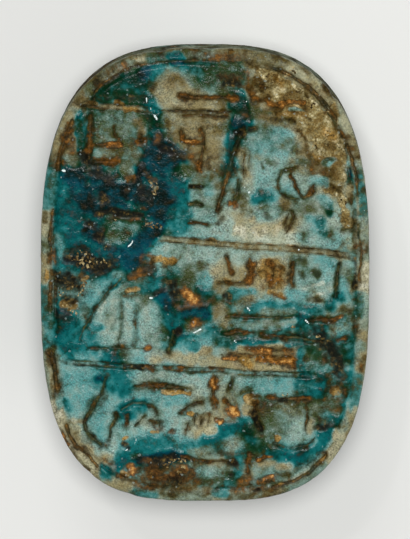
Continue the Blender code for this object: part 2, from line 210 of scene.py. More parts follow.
# Paints: the levels that each pulls the finish towards, mostly from 0 to 1.
# Glaze 0.1 is a thin pale film, 0.4 turquoise, 0.6 deep teal, 0.75 blue, and 0.9 nearly black.
paints = {
    "grey": {"glaze": 0.25, "haze": 0.08, "pallor": 0.05},
    "pale": {"glaze": 0.3, "haze": 0.04, "pallor": 0.02},
    "green": {"glaze": 0.35, "haze": 0.25, "grime": 0.55},
    "turquoise": {"glaze": 0.38, "haze": -0.1, "grime": 0.08},
    "teal": {"glaze": 0.52, "haze": -0.2, "grime": 0.32},
    "deep": {"glaze": 0.62, "haze": -0.3, "grime": 0.3},
    "blue": {"glaze": 0.75, "haze": -0.3, "grime": 0.12},
    "navy": {"glaze": 0.82, "haze": -0.3, "grime": 0.5},
    "night": {"glaze": 0.74, "haze": -0.3, "grime": 0.7, "soot": 0.42},
    "moss": {"glaze": 0.52, "haze": 0.05, "grime": 0.84},
    "mud": {"glaze": 0.4, "haze": 0.35, "grime": 0.9, "rust": 0.3},
    "beige": {"glaze": 0.14, "haze": 0.76, "grime": 0.52},
    "straw": {"glaze": 0.2, "haze": 0.8, "grime": 0.54, "rust": 0.02, "sand": 0.5, "gilt": 0.45},
    "khaki": {"glaze": 0.08, "haze": 0.95, "grime": 0.06, "pallor": 0.38},
    "tan": {"glaze": 0.1, "haze": 0.95, "grime": 0.34, "rust": 0.22},
    "ash": {"glaze": 0.22, "haze": 0.16, "grime": 0.5, "pallor": 0.32},
    "lagoon": {"glaze": 0.56, "haze": 0.04, "grime": 0.64, "pallor": 0.22},
    "bone": {"glaze": 0.06, "haze": 0.7, "grime": 0.22, "pallor": 0.44},
    "buff": {"glaze": 0.04, "haze": 1.0, "grime": 0.0, "rust": 0.04, "pallor": 0.6},
    "pearl": {"glaze": 0.14, "haze": 0.14, "grime": 0.0, "pallor": 0.5},
    "cream": {"glaze": 0.0, "haze": 0.6, "grime": 0.0, "pallor": 0.7},
    # white specks laid as paint are painted highlights, standing in for glints
    "white": {"pallor": 0.7},
    "sandy": {"sand": 1.0, "grime": 0.25},
    "gold": {"sand": 0.9, "gilt": 0.9, "grime": 0.35},
    "olive": {"grime": 0.85},
    "murk": {"grime": 0.95, "soot": 0.45},
    "umber": {"grime": 0.85, "rust": 0.36},
    "rust": {"grime": 0.75, "rust": 0.56},
    "orange": {"grime": 0.3, "rust": 0.88},
    "soot": {"grime": 0.9, "soot": 0.85},
}
# Daubs of paint in the order they are laid, so that a later one covers an earlier one: the paint,
# then each stroke of it, which is its half width and its places.
daubs = (
    # broad shades, laid first
    ("moss", (0.9, -8.2, 11.6, -6.6, 12.6, -4.6, 12.6), (0.8, -4.2, 13.6, -2.4, 14.4, -0.4, 14.3),
     (0.9, 0.2, 13.9, 1.4, 13.4, 2.2, 12.8), (0.7, -6.2, -6.4, -6, -7.8),
     (0.7, -5.8, -10, -4.6, -9.7)),
    ("night", (0.7, -6.2, 12.4, -5.2, 12.6), (0.6, 2.6, 12.2, 2.9, 11.2, 2.6, 9.9),
     (0.7, -4.8, -13.6, -3.6, -13.4, -2.2, -13.3)),
    ("moss", (0.8, 2.2, 9.6, 2, 8.2, 1.8, 7.2), (1, -9, 10.6, -8.6, 8.4),
     (1.1, -7.4, 9.6, -5.2, 9.9), (0.9, -4.2, 10.8, -3.6, 9.4)),
    ("mud", (0.8, -7.6, 8.2, -6, 8, -4.6, 8.1), (0.9, 3.6, -9.6, 3.7, -11, 3.5, -12.2),
     (1.1, -4.6, -14.3, -2.8, -14.4, -1.2, -14.8)),
    ("deep", (1.5, -9.6, 6.8, -9.4, 4.6, -9.2, 2.6)),
    ("night", (1.5, -7.6, 5.9, -6, 4.9, -4.4, 5.3, -3.2, 5.4),
     (1.1, -4.2, 7.4, -2.8, 7.8, -2.4, 8.4), (0.9, -8.2, 3, -7.8, 1.2)),
    ("deep", (1.1, -2.6, 6.4, -2.2, 4.6, -2.4, 3.2)),
    ("blue", (1, -6.6, 0.7, -5.2, 1.3, -4.3, 2.2)),
    ("tan", (0.8, 3.6, 12.4, 4.6, 11.3, 6.2, 10.9), (0.9, 6.9, 9.4, 7.6, 8.4, 8.4, 7.2, 8.9, 6.2),
     (1, -1.8, 13, -1.6, 12.2, -0.6, 11.2, -0.8, 9.6, -0.4, 8.2)),
    ("khaki", (0.8, 5.4, 14, 6.8, 13.4, 7.8, 12.8),
     (0.6, -9.4, -11.9, -8.6, -12.9, -7.6, -13.9, -6.6, -14.6), (0.9, 3, 1.2, 4.2, 2.4, 5.6, 2.4)),
    ("beige", (1.2, 2.6, 2.9, 4.6, 2.7, 6.4, 2.9)),
    ("moss", (0.9, -6, 2.4, -5.4, 3.2), (0.9, 1.2, -12.4, 2.2, -12.9, 3.2, -13.2),
     (0.7, -3.4, 14.2, -1.6, 14.2, 0.6, 14.4, 2.2, 14.5),
     (0.8, -7.2, 11.3, -5.2, 11.3, -3.9, 11.4)),
    ("tan", (0.8, 3.9, 14.9, 5.6, 14.2, 7.2, 13.3), (0.8, -9.9, 9.4, -9.6, 8.6)),
    ("mud", (0.7, -1, -15.2, 1.4, -15.2, 3.6, -15.2)),
    ("night", (0.9, -9.6, 0.6, -8.2, -0.1, -6.8, -0.1)), ("moss", (0.9, -5.6, -0.4, -4.4, -0.7)),
    ("night", (0.8, -3.8, -1, -2.6, -1.4, -2.2, -2.6)), ("moss", (0.9, -2.2, -3.6, -2.1, -5)),
    ("mud", (0.9, -9.6, -1.2, -9.4, -2.6), (1.1, -1.4, -1.4, -0.4, -2.4, -0.2, -3.4)),
    ("moss", (0.9, 0.4, -2.2, 1.2, -2.3), (0.8, 1.4, -4.4, 3, -5, 4.6, -4.9),
     (0.7, 3.2, -3.4, 4.6, -3.3)),
    ("night", (0.8, -10, -3.2, -9.6, -4.6, -9.2, -5.4), (1, 6.6, -3.9, 7.8, -4.8, 8.8, -5.9)),
    ("turquoise", (1, -9.2, -6.9, -8.9, -8.8, -7.6, -9.4)),
    ("teal", (0.9, -8.6, -5, -8, -5.9, -6.8, -6.3, -6.4, -7.6)),
    ("pale", (0.6, -7.2, -2.5, -6.6, -5.2), (0.6, -5.3, -2.4, -5.4, -5.6),
     (0.7, -4.1, -2.6, -3.9, -5.8), (1.2, -2.4, 1, 0, 1, 2.6, 0.9, 4.6, 1.1)),
    ("mud", (1, 8.7, -6.4, 8.9, -7.6, 8, -8.8)), ("moss", (0.8, 9.9, -4.2, 9.9, -6.8, 9.6, -8.4)),
    ("mud", (0.55, 4.6, -9.2, 6.4, -9, 7.8, -9.4, 8.6, -10.6)),
    ("moss", (0.9, 5.6, -13.2, 7, -13), (0.8, 8.6, -11.2, 9.4, -10)),
    ("mud", (0.8, 7.4, -8.6, 8.6, -9)),
    ("tan", (1, 1.6, -0.3, 3.2, -0.4, 4.8, -0.4), (0.9, 2.6, -5.9, 4.4, -6.2, 6, -6.4)),
    # head end
    ("beige", (0.4, 3, 15.2, 5, 14.9, 6.6, 14.3, 7.6, 13.6, 8.8, 12.5, 9.8, 11)),
    ("grey", (0.26, 3.1, 15.3, 3.7, 15.2), (0.3, 5.2, 15, 6, 14.6), (0.22, 7.9, 13.2, 8.3, 12.8)),
    ("tan", (0.55, -10.6, 8.2, -10.3, 9.5, -9.3, 11.2, -8.8, 12)),
    ("green", (0.4, -7.9, 13.2, -6.4, 14.3, -4.6, 15.1, -3.2, 15.3)),
    ("deep", (0.5, -7.6, 12.4, -6.4, 12.9, -5.4, 13.3)), ("teal", (0.45, -5.9, 12.6, -4.9, 12.5)),
    ("deep", (0.5, -4.9, 13.3, -4.2, 13.9, -3.6, 14.3), (0.45, -2.4, 15.3, -1.9, 14.9, -1.5, 14.7)),
    ("moss", (0.32, -8.3, 12.4, -7.3, 13, -6.2, 13.5), (0.3, -6.4, 12.2, -5, 12.2)),
    ("blue", (0.25, -4.4, 13.7, -3.9, 14.1)),
    ("beige", (0.66, -2.4, 13.2, -2.2, 12.4), (0.6, -3.2, 12.1, -1.4, 11.7, 1.2, 11.4),
     (0.65, -2.1, 10.1, -1.6, 9.2, -0.6, 9.6, 0.6, 9.6, 0.8, 8.4)),
    ("pale", (0.3, -1.4, 13.9, -0.9, 13.2, -0.5, 12.7)),
    ("green", (0.2, -7.9, 13, -7, 13.6, -6.2, 14)), ("ash", (0.14, -7.6, 12.9, -6.6, 13.5)),
    ("teal", (0.35, -8.5, 12.6, -7.8, 12.5), (0.4, -1.2, 14.3, -0.3, 14, 0.2, 13.2)),
    ("green", (0.9, -6.9, 10.2, -5.3, 10.1)),
    ("pale", (0.48, -7, 10.4, -5.4, 10.4), (0.3, -5.8, 9.7, -5.3, 9.7)),
    ("beige", (0.25, -4.7, 10.3, -4.3, 9.8)), ("umber", (0.22, -1.6, 15.5, -0.8, 15.5)),
    ("green", (0.35, -7.4, 9.1, -5.6, 8.5, -4.8, 8.2), (0.3, -7.3, 8.1, -5.2, 8.1)),
    ("deep", (0.3, -8.95, 11.2, -8.85, 10, -8.7, 8.5), (0.42, -4.1, 11.9, -3.6, 10.9, -3.3, 9.8)),
    ("navy", (0.4, -3.1, 9, -2.7, 8.6)),
    ("rust", (0.26, -4.7, 9.05, -4.3, 9.15), (0.24, -3.3, 9.3, -3.3, 8.7),
     (0.24, -1.8, 12.15, -1.2, 12.05), (0.2, -1.65, 9.6, -1.65, 8.9)),
    ("umber", (0.24, -6.35, 9.9, -6.15, 9.2), (0.26, -3.85, 12.95, -3.75, 12.9),
     (0.2, -4.5, 9.5, -4.4, 9.3), (0.2, -1.2, 12, 0, 11.9)),
    ("orange", (0.16, -1.3, 8.8, -0.4, 8.75)),
    ("murk", (0.3, -8.2, 12.1, -6.9, 12.1, -5.4, 12, -4.3, 11.9), (0.25, -7.2, 11.6, -6.7, 11.3),
     (0.25, -1.4, 14.8, -0.5, 14.7)),
    ("teal", (0.34, -0.1, 14.4, 0.7, 14.35)),
    ("green", (0.26, 1.2, 14.45, 2.2, 14.2), (0.34, 0.2, 12.7, 1.2, 12.6)),
    ("moss", (0.14, -8.9, 10.6, -8.75, 9.4, -8.7, 8.6), (0.34, 2.5, 13.6, 2.6, 13.3)),
    ("mud", (0.6, 0.7, 13.6, 1.9, 13.3)),
    ("rust", (0.15, -1, 11.6, 0, 11.65), (0.2, -0.15, 9.7, -0.15, 8.8),
     (0.22, -1.4, 8.1, -1.1, 7.8), (0.22, 0, 15.1, 1.2, 15.1)),
    ("gold", (0.22, -8.4, 11.6, -7.7, 11.6), (0.22, -6.2, 11.7, -5.8, 11.6),
     (0.2, -5.6, 11.2, -4.9, 11.1), (0.26, 1.3, 15.3, 2.4, 15.4)),
    ("umber", (0.22, -4.6, 11.2, -4, 10.9), (0.26, -8.05, 10.8, -8.1, 9.6),
     (0.16, -1.9, 11.1, 1.6, 10.98)),
    ("rust", (0.24, -8.1, 9.4, -8.05, 8.3), (0.2, -7.3, 8.8, -6.8, 8.7),
     (0.14, -1.4, 10.75, 1.4, 10.66)),
    ("murk", (0.2, -4, 10.6, -3.8, 10.1), (0.42, 0.9, 13.6, 1.8, 13.3)),
    ("soot", (0.2, 1.3, 13.1, 2.6, 12.9)),
    ("deep", (0.3, 2.6, 12.3, 2.7, 11.5, 2.8, 10.6), (0.35, 1.7, 11.4, 2.2, 11.1),
     (0.42, 2.3, 10.2, 2, 9.2, 1.8, 8.2, 1.7, 7.3)),
    ("sandy", (1.2, 4.4, 13.1, 5.8, 12.8, 7.2, 12.3, 8.2, 11.2),
     (1, 7.2, 11.4, 8.3, 10.4, 8.8, 9.2, 9, 8.2), (0.55, 3.8, 12.4, 5, 12.2, 6.6, 12),
     (0.85, 7.4, 11.8, 8, 10.4, 8.3, 9.2), (0.45, 5.4, 11, 6.6, 10.6), (0.45, 6.7, 10.1, 7.3, 9.4),
     (0.6, 8.6, 8.6, 9.2, 7.6, 9.5, 6.6), (0.38, 9.3, 5.8, 9.7, 5, 9.9, 4, 10.1, 3.1),
     (0.26, 8.5, 5.6, 9, 5.5)),
    ("blue", (0.14, -8.95, 11, -8.9, 10.6), (0.25, 2.1, 10.3, 3.2, 10.1)),
    ("gold", (0.28, -9.1, 11.6, -8.8, 12.1), (0.2, 4.9, 13.4, 5.3, 12.8),
     (0.18, 4.2, 11.8, 5.4, 11.55, 6.8, 11.6), (0.22, 5.2, 10.8, 6.8, 10.8),
     (0.28, 8.4, 9.6, 8.9, 9.3), (0.25, 7.6, 8, 8.4, 7.6)),
    ("rust", (0.2, -9.55, 10.6, -9.6, 9.6, -9.85, 9, -10, 8.3), (0.26, 1.7, 12, 2, 11.95),
     (0.2, 0.1, 12, 0.9, 12.05), (0.2, 6.9, 13.3, 7.9, 12.6),
     (0.14, 8.5, 11.8, 8.8, 11.2, 9.1, 10.6)),
    ("tan", (0.24, -9.3, 9, -9.2, 8.3)),
    ("green", (0.16, 3.4, 11.1, 4.6, 11), (0.14, 6, 11.1, 6.9, 11.1)),
    ("umber", (0.24, -9.3, 8.8, -9.9, 8.3), (0.22, 1.2, 15, 2.8, 15), (0.26, 3.1, 14.6, 4.6, 14.5),
     (0.16, 9.4, 10.1, 9.8, 9.3, 10.1, 8.6), (0.14, 6, 10.95, 7.4, 10.5)),
    ("olive", (0.3, -8, 12.8, -7, 13.4, -5.6, 14.2, -4.6, 14.5), (0.2, 3.2, 14.1, 5.2, 14.2),
     (0.24, 0.4, 10.3, 0.8, 10.2)),
    ("rust", (0.24, -7.6, 13.3, -6.9, 13.7, -6.1, 14.4), (0.22, 3.05, 13.7, 3.2, 12.9, 3.4, 12.2),
     (0.26, 9.6, 9.6, 9.8, 9.2)),
    ("turquoise", (0.8, 4, 9.4, 5.3, 9.1)),
    ("murk", (0.2, -5, 14.4, -3.6, 14.7, -2.8, 14.7), (0.16, 4.6, 10.5, 6.2, 10.25)),
    ("green", (0.34, 6, 8.9, 6.3, 8.4)), ("turquoise", (0.35, 3.5, 8.6, 5.4, 8.2)),
    ("umber", (0.22, -6.3, 14.3, -5.5, 14.6), (0.2, 3.6, 13.3, 4.1, 12.6),
     (0.3, 10.3, 8.9, 10.7, 8.3), (0.3, 2.3, 10.8, 2.9, 10.75), (0.16, 6.6, 9.7, 7.1, 9, 7.2, 8.4)),
    ("soot", (0.24, 2.2, 9.6, 2.7, 9.5), (0.2, 3.1, 9.8, 3.5, 9.9)),
    ("beige", (0.22, -5.5, 14.9, -4.6, 14.9)), ("rust", (0.2, 3.4, 12, 4.5, 11.6, 5.4, 11.4)),
    ("orange", (0.16, -3.3, 15.35, -3, 15.3), (0.2, -6.7, 8.7, -6, 8.65),
     (0.14, 4.4, 11.7, 5.6, 11.6, 6.9, 11.7)),
    ("umber", (0.14, 7.1, 12.6, 7.2, 12.1)),
    # sides, above the middle
    ("tan", (0.3, 4.2, 0.2, 5, -0.4, 5.6, -0.8)),
    ("grey", (0.4, -11.2, 6.6, -11.2, 4.8, -11.3, 2.4)),
    ("teal", (0.3, -11, 6.2, -11, 4.6), (0.3, 10.4, 7.8, 10.5, 5.6)),
    ("turquoise", (0.35, 11, 4.6, 11, 3.9), (0.24, 8.6, 7.5, 8.8, 7.7)),
    ("beige", (0.3, -11.2, 3.8, -11.2, 0.4), (0.35, -11, 8, -10.8, 7.2),
     (0.34, 2.6, 8.2, 2.9, 7.2, 2.9, 6.2)),
    ("deep", (0.75, -10.2, 6.4, -10.1, 4.6, -9.9, 3, -9.4, 2), (0.7, -9, 4.6, -8.9, 3.2)),
    ("blue", (0.5, -9.5, 6.6, -9, 6.3), (0.55, -8.6, 5.5, -7.4, 5.9),
     (0.18, 10.35, 7.1, 10.4, 6.6)),
    ("navy", (0.5, -7.4, 5.4, -6.2, 5.7, -5.2, 5.6), (0.45, -8.1, 4.5, -7.4, 4.2),
     (0.35, -8, 2.9, -7.6, 2.4)),
    ("turquoise", (0.3, -10.2, 2.2, -9.9, 1), (0.4, -6.4, 3, -5.2, 2.8)),
    ("blue", (0.32, -6.4, 4.7, -5.3, 4.5)),
    ("navy", (0.5, -4.6, 6.8, -4.6, 5.6, -4.2, 4.8), (0.55, -3.2, 8.2, -2.4, 8.1, -1.8, 7.7)),
    ("pale", (0.7, 4.2, 6.4, 5.2, 7.2)),
    ("grey", (0.35, -9.6, 7.6, -9.1, 7.5), (0.35, 11, 7, 11.1, 6.2)),
    ("umber", (0.3, -10.75, 3.7, -10.7, 2), (0.26, -10.1, 8.2, -9.9, 7.4),
     (0.4, -10.9, 7.9, -10.8, 7.2), (0.18, 10.1, 7.2, 10.3, 6, 10.35, 4.4)),
    ("blue", (0.5, -3.5, 7.3, -2.5, 7.1)),
    ("soot", (0.32, -8.4, 7.9, -8, 7.5), (0.24, -8.3, 3.4, -8, 3.3), (0.3, -3, 8.5, -2.4, 8.3)),
    ("deep", (0.45, -1.9, 6.7, -1.7, 5.4), (0.6, -2.2, 5.8, -1.9, 4.6, -2, 3.5),
     (0.4, 3.3, 5, 4.5, 5)),
    ("green", (0.35, -5.4, 7.4, -4.9, 7.6), (0.36, -6.6, 2.3, -5.6, 1.95)),
    ("orange", (0.18, 11, 5.8, 11, 5.6)),
    ("pale", (0.3, -1.5, 6.95, -1.1, 6.9), (0.55, 3.2, 3.6, 4.8, 3.9)),
    ("navy", (0.45, -3, 5.6, -2.8, 4.9)), ("blue", (0.4, -3.6, 4.6, -3.2, 4.2)),
    ("navy", (0.35, -3.2, 3.7, -3, 3.2, -3.6, 2.6)), ("teal", (0.4, -1.6, 3.8, -1.8, 2.9)),
    ("blue", (0.5, -6, 1.1, -5, 1.5, -4.2, 2), (0.45, -5.4, 0.5, -4.7, 0.9)),
    ("deep", (0.45, -7.4, 1.1, -6.4, 0.8), (0.45, -8.6, 1.9, -7.9, 1.5)),
    ("grey", (0.4, -5.6, 6.9, -5.4, 6.7), (0.45, -2.6, 1.3, -1.4, 1.2, 0, 1.1),
     (0.6, 6.2, 4.4, 7.6, 4.2), (0.45, 5.9, 6.4, 6.8, 6.3, 7.2, 6)),
    ("pale", (0.3, -0.6, 5.3, -0.4, 3.9, -0.4, 2.6), (0.35, 0.3, 6.6, 0.5, 5, 0.4, 3.4),
     (0.6, 7, 2.4, 9, 2.2)),
    ("pearl", (0.6, 3, 2.4, 4.4, 2.2, 5.6, 1.9)),
    ("murk", (0.4, -7.8, 6.9, -7, 6.6, -6.6, 6.2), (0.35, -4.4, 7.6, -4, 6.8),
     (0.35, -4.5, 5.7, -3.9, 5), (0.16, -1.1, 4.6, -0.2, 4.5), (0.14, 4, 7.3, 4.05, 7)),
    ("soot", (0.34, -7.5, 5.15, -7.1, 5), (0.22, -7.6, 3.9, -6.6, 4.15, -5.5, 4, -4.6, 3.85),
     (0.3, -7.6, 2.5, -7.3, 2.3), (0.45, -9.5, 0.9, -8.6, 0.5, -7.6, 0.3, -6.8, 0.2),
     (0.15, -1, 5.9, -0.1, 5.85)),
    ("rust", (0.3, -5.4, 6.4, -5, 6.3), (0.15, -5.6, 5.6, -5.4, 5.5), (0.26, -3.8, 6.3, -3.5, 6.2),
     (0.32, -4.5, 4.5, -4.3, 4.4), (0.28, -10.7, 1.6, -10.7, 0.2), (0.15, -0.9, 3.2, 0.1, 3.1),
     (0.22, -0.5, 7.3, -0.4, 7)),
    # painted highlight
    ("white", (0.12, -3.75, 6, -3.5, 5.6, -3.3, 5.7)),
    ("beige", (0.55, 0.2, 8.6, 0.7, 7.9), (0.26, 5.6, 4.8, 5.9, 4.4), (0.32, 11, 3.2, 10.9, 2)),
    ("green", (0.35, 0.5, 7.4, 0.7, 7), (0.26, 6.4, 7.6, 7.2, 7.5)),
    ("umber", (0.3, -7.8, 3.1, -7.3, 2.9), (0.28, -7.7, 7.5, -6.2, 7.45),
     (0.26, -6.3, 3.75, -5.6, 3.7, -4.9, 3.5), (0.15, -6.5, 2.55, -5.3, 2.5),
     (0.24, -7.05, 1.55, -6.9, 1.5), (0.24, -0.4, 0.4, -0.1, 0.2), (0.2, 9.8, 2.7, 10.3, 2.7)),
    ("turquoise", (0.3, 0.2, 6.2, 0.3, 5.4), (0.35, 7.3, 3.4, 7.9, 2.6),
     (0.45, 7.9, 0.6, 8.7, 0.3)),
    ("lagoon", (0.34, 8, 3.2, 8.3, 2.6), (0.24, 8.7, 4.4, 8.8, 3.9)),
    ("turquoise", (0.3, 8.2, 5, 8.5, 4.6), (0.32, 7.7, 6.3, 8.6, 6.2)),
    ("olive", (0.25, -2.9, 2.6, -2.5, 2.4), (0.2, 4.4, 7.5, 5, 7.4),
     (0.16, 6.3, 7.1, 5.4, 6.9, 5.1, 6.2), (0.2, 5.1, 5.9, 5.3, 5.3, 6, 5)),
    ("rust", (0.2, -7.1, 7.4, -6.5, 7.4), (0.16, -5, 3.55, -4.8, 3.5), (0.22, 1.7, 6.7, 1.55, 6.3),
     (0.14, 6.05, 6.6, 6.4, 6, 6.6, 5.3), (0.22, 8.7, 2.5, 8.8, 2.3)),
    ("umber", (0.16, -2.8, 2.2, 0, 1.95), (0.24, 1.9, 6, 1.8, 5.2), (0.15, 6.7, 5.1, 7, 4.95),
     (0.26, 7.4, 6.9, 8.9, 6.9), (0.18, 7.3, 8.1, 7.5, 7.6, 8.2, 7.3), (0.15, 9, 6.1, 9.6, 5.6),
     (0.18, 6.1, 4, 6.25, 3.5, 5.9, 2.9)),
    ("murk", (0.3, -9.4, 1.2, -8.4, 1.2), (0.2, 2.3, 8.8, 2, 7.6),
     (0.14, 8.5, 7.3, 8.6, 7.8, 8.95, 7.8), (0.2, 10.55, 4.2, 10.6, 2)),
    ("rust", (0.2, -0.9, 2, 0.4, 1.9), (0.24, 1.25, 5.6, 1.3, 5.2), (0.22, 7.3, 5.2, 7.6, 5.8),
     (0.28, 10.8, 1.6, 11.1, 1.4)),
    ("grey", (0.5, 1, 2.6, 1.6, 3), (0.4, 0.2, 0.9, 2.2, 0.9), (0.3, 2.4, 0.6, 3.9, 0.9)),
    ("beige", (0.32, 2.4, 3.6, 3, 3.5)), ("cream", (0.26, 2.2, 2.8, 2.4, 2.8)),
    ("beige", (0.36, 3.7, 2.7, 4.6, 2.7)), ("orange", (0.22, 1.8, 4.55, 2.1, 4.45)),
    ("umber", (0.12, 3.4, 1.6, 4.6, 1.5, 6, 1.35), (0.14, 5.6, 3.2, 5.7, 2.6),
     (0.22, 0.8, 4.5, 1.1, 4.4, 0.9, 4), (0.24, 10.9, 0.9, 11, 0.3)),
    ("gold", (0.32, -3.4, 0.6, -2.2, 0.65), (0.14, 0.4, 1.95, 3, 1.8, 6.2, 1.5)),
    ("murk", (0.22, 4.2, 3.7, 4.5, 3.5), (0.2, 1.2, 3.7, 0.9, 3.3), (0.22, 2.5, 5.2, 2.5, 4.6),
     (0.2, 6.2, 1.4, 8.4, 1.25, 10.5, 0.95)),
    ("rust", (0.32, -4.3, 0.7, -3.7, 0.8), (0.22, 1.1, 1.7, 1.5, 1.6), (0.18, 8.6, 1.2, 9, 1.15)),
    ("umber", (0.26, -4.5, 0.2, -4.2, 0.5), (0.2, 3.4, 1.75, 4, 1.6)),
    ("olive", (0.25, 3.9, 4.6, 4.2, 4.2)),
    # sides, below the middle
    ("pale", (0.55, 7, -0.6, 8.4, -0.8)),
    ("grey", (0.45, -4.3, -2.6, -4.2, -4, -3.8, -5.4), (0.34, 7.2, -1.4, 8.8, -1.6)),
    ("turquoise", (0.5, -7.9, -1.5, -7, -1.2), (0.35, -8.1, -2.2, -7.4, -2.1),
     (0.35, 9.6, -1, 9.9, -2), (0.3, 6, -1.6, 7, -1.9)),
    ("khaki", (0.36, 11.1, 0.2, 11.2, -1.4)), ("beige", (0.3, -11.2, 0.2, -11.2, -1)),
    # painted highlights
    ("white", (0.16, 7.5, -1.2, 8.2, -1), (0.1, 6.9, -1.3, 7.1, -1.4)),
    ("grey", (0.3, -11.2, -1.5, -11.2, -5.6)), ("teal", (0.22, -11.1, -1.6, -11, -3)),
    ("deep", (0.75, -9.9, -4.3, -9.2, -4.8, -9, -5.4)),
    ("teal", (0.4, -8.3, -4.6, -8, -5.2), (0.4, -8.6, -5.9, -7.1, -5.9)),
    ("grey", (0.5, -7.1, -3, -6.7, -4.8), (0.26, -5.3, -2.8, -5.5, -4.9),
     (0.4, -6.3, -1.8, -5.8, -1.3)),
    ("soot", (0.6, -10, -0.6, -9.2, -1.2, -9.2, -2.2)),
    ("murk", (0.5, -9.9, -1.8, -8.6, -1.6), (0.3, -8.4, -2.6, -8.2, -3.1),
     (0.25, -10, -3.3, -9.6, -3.5)),
    ("moss", (0.2, -6, -0.7, -6.9, -1.8, -8, -3.4, -8.5, -4.1)),
    ("green", (0.3, -4.8, -0.9, -4.3, -0.8), (0.18, -4.85, -2.6, -4.9, -5.4)),
    ("deep", (0.55, -6.4, -6.2, -6.6, -7.4, -6.2, -8)),
    ("olive", (0.16, -5.75, -2.3, -5.9, -3.6, -6.1, -5)), ("murk", (0.12, -6.5, -1.1, -6.9, -1.8)),
    # painted highlight
    ("white", (0.2, -6.9, -2.4, -7.4, -3)),
    ("teal", (0.45, -4, -1.1, -3.4, -0.9), (0.4, -7.8, -7.8, -7.4, -8)),
    ("blue", (0.5, -3, -2, -2.6, -2.5)),
    ("deep", (0.5, -2.2, -3.4, -2, -4.8), (0.4, -1.2, -4.8, -0.2, -4.9)),
    ("blue", (0.45, -1.3, -2.9, -0.1, -2.9)),
    ("turquoise", (0.35, -1.8, -5.6, -0.9, -5.1, 0.1, -4.9), (0.55, -9.4, -7.2, -8.8, -7.4)),
    ("navy", (0.26, -7.5, -7.6, -7.3, -7.6)),
    ("umber", (0.36, -7.4, -0.2, -8, -0.7, -8.6, -0.6),
     (0.28, -10.8, -6.2, -10.4, -7, -10.2, -8.2, -10.2, -8.9),
     (0.3, -5.3, -0.5, -4.4, -0.2, -3.7, 0.2), (0.19, -6.3, -3.6, -6.2, -3.6),
     (0.34, -6.4, -5.6, -6, -5.3, -5.6, -5.8)),
    ("beige", (0.3, -1, -5.6, 0.2, -5.6), (0.36, -3.6, -6.2, -2, -6.3, -0.2, -6.4, 1.4, -6.7)),
    ("grey", (0.3, -4.4, -7.5, -2.4, -7.6, -0.6, -7.5)),
    ("gold", (0.36, -9.8, -2.5, -9.3, -2.7, -9, -2.5), (0.22, -8.6, -0.8, -8.3, -0.7),
     (0.28, -5.3, -1.6, -4.7, -1.4)),
    ("teal", (0.4, -2.5, -0.6, -2.2, -0.2)), ("deep", (0.32, -0.3, -1.2, 0, -1.5)),
    ("umber", (0.36, -10.65, 0, -10.6, -2.2), (0.16, -5.6, -2, -4.6, -1.9)),
    ("murk", (0.3, -10.65, -2.4, -10.6, -4.4), (0.28, -5.8, -5.9, -5, -6.1),
     (0.22, -4.1, -1.9, -3, -1.4, -2.8, -0.7)),
    ("soot", (0.3, -2.1, -4.3, -2, -4.2), (0.18, -9.1, -6.6, -7.6, -6.7),
     (0.36, -2.3, -0.9, -2, -1.8), (0.18, -5.6, -6.8, -4.4, -7)),
    ("umber", (0.7, -1.3, -1.6, -0.7, -2)),
    ("rust", (0.2, -10.9, -6.3, -10.5, -6.9), (0.18, -7.9, -5.6, -7.7, -5.6),
     (0.22, -5.3, -0.5, -4.8, -0.3), (0.16, -2.1, -4.3, -2, -4.3), (0.2, -1.9, -2.8, -1.7, -2.8),
     (0.24, -4.1, -6.95, -3.7, -7)),
    ("olive", (0.22, -3.6, -7, -0.8, -7.05)),
    ("orange", (0.24, -4.15, -5.65, -4, -5.6), (0.36, -1.3, -1.5, -0.9, -2, -0.4, -2.1)),
    ("murk", (0.22, -2.35, -4.9, -2.6, -6), (0.18, -10.2, -6.5, -9.2, -6.6)),
    ("turquoise", (0.36, -0.1, -0.6, 0.2, -0.8)),
    ("beige", (0.34, 0.8, -0.3, 0.9, -1.2), (0.34, 1.4, 0.2, 2.6, 0), (0.3, 3.8, -0.2, 3.9, -0.6)),
    ("umber", (0.25, -2.1, -2.6, -1.3, -2.6), (0.45, -0.8, -3.8, -0.4, -3.7)),
    ("teal", (0.35, 2, -1.6, 3.4, -1.5)), ("orange", (0.3, -0.8, -4, -0.5, -3.6)),
    ("beige", (0.42, 1, -2.7, 1.3, -3.7)), ("green", (0.3, 2.9, -2.1, 4.2, -1.9)),
    ("teal", (0.32, 3.2, -2.8, 4.5, -2.4, 6.4, -2.5, 8, -2.9), (0.3, 0.2, -4.1, 1.2, -5, 2, -5.4)),
    ("beige", (0.3, 1.3, -6.4, 3, -6.4, 5, -6.8)),
    ("gold", (0.6, 4.4, 0.2, 5.2, -0.6), (0.24, 1.4, -0.8, 1.7, -0.9),
     (0.36, 2.8, -6.4, 3.1, -6.7)),
    ("sandy", (0.3, 4, 0.3, 4.3, -0.7, 5, -1.1), (0.26, 5, 0.4, 5.5, 0)),
    ("deep", (0.36, 9.2, -2, 8.8, -2.6), (0.24, 2.3, -5.1, 3.5, -5.1, 4.8, -5.1)),
    # painted highlight
    ("white", (0.13, 7.9, -1.8, 8.4, -1.7)), ("gold", (0.26, 4.6, -1.6, 5.4, -1.8)),
    ("murk", (0.2, 7.2, -2, 8.3, -2.2), (0.22, 9.4, 0.4, 9.2, -1, 9.1, -1.8)),
    ("teal", (0.24, 5.4, -5.3, 6.6, -5.2)), ("soot", (0.26, 1.4, -1.7, 1.7, -1.8)),
    ("green", (0.28, 4.2, -3, 6, -3)), ("grey", (0.26, 4.2, -3.85, 6, -3.8)),
    ("moss", (0.72, 7.3, -4.4, 8.4, -5.4, 9.1, -6.3)),
    ("mud", (0.36, 7.4, -4.8, 8.2, -5.5, 8.8, -6.4)),
    ("soot", (0.5, 7.6, -4.4, 8.3, -5.2), (0.6, 8.9, -5.9, 9.3, -6.8)),
    ("green", (0.24, 1.8, -3.9, 3.6, -4), (0.36, 8.9, -4.5, 9.9, -4.1)),
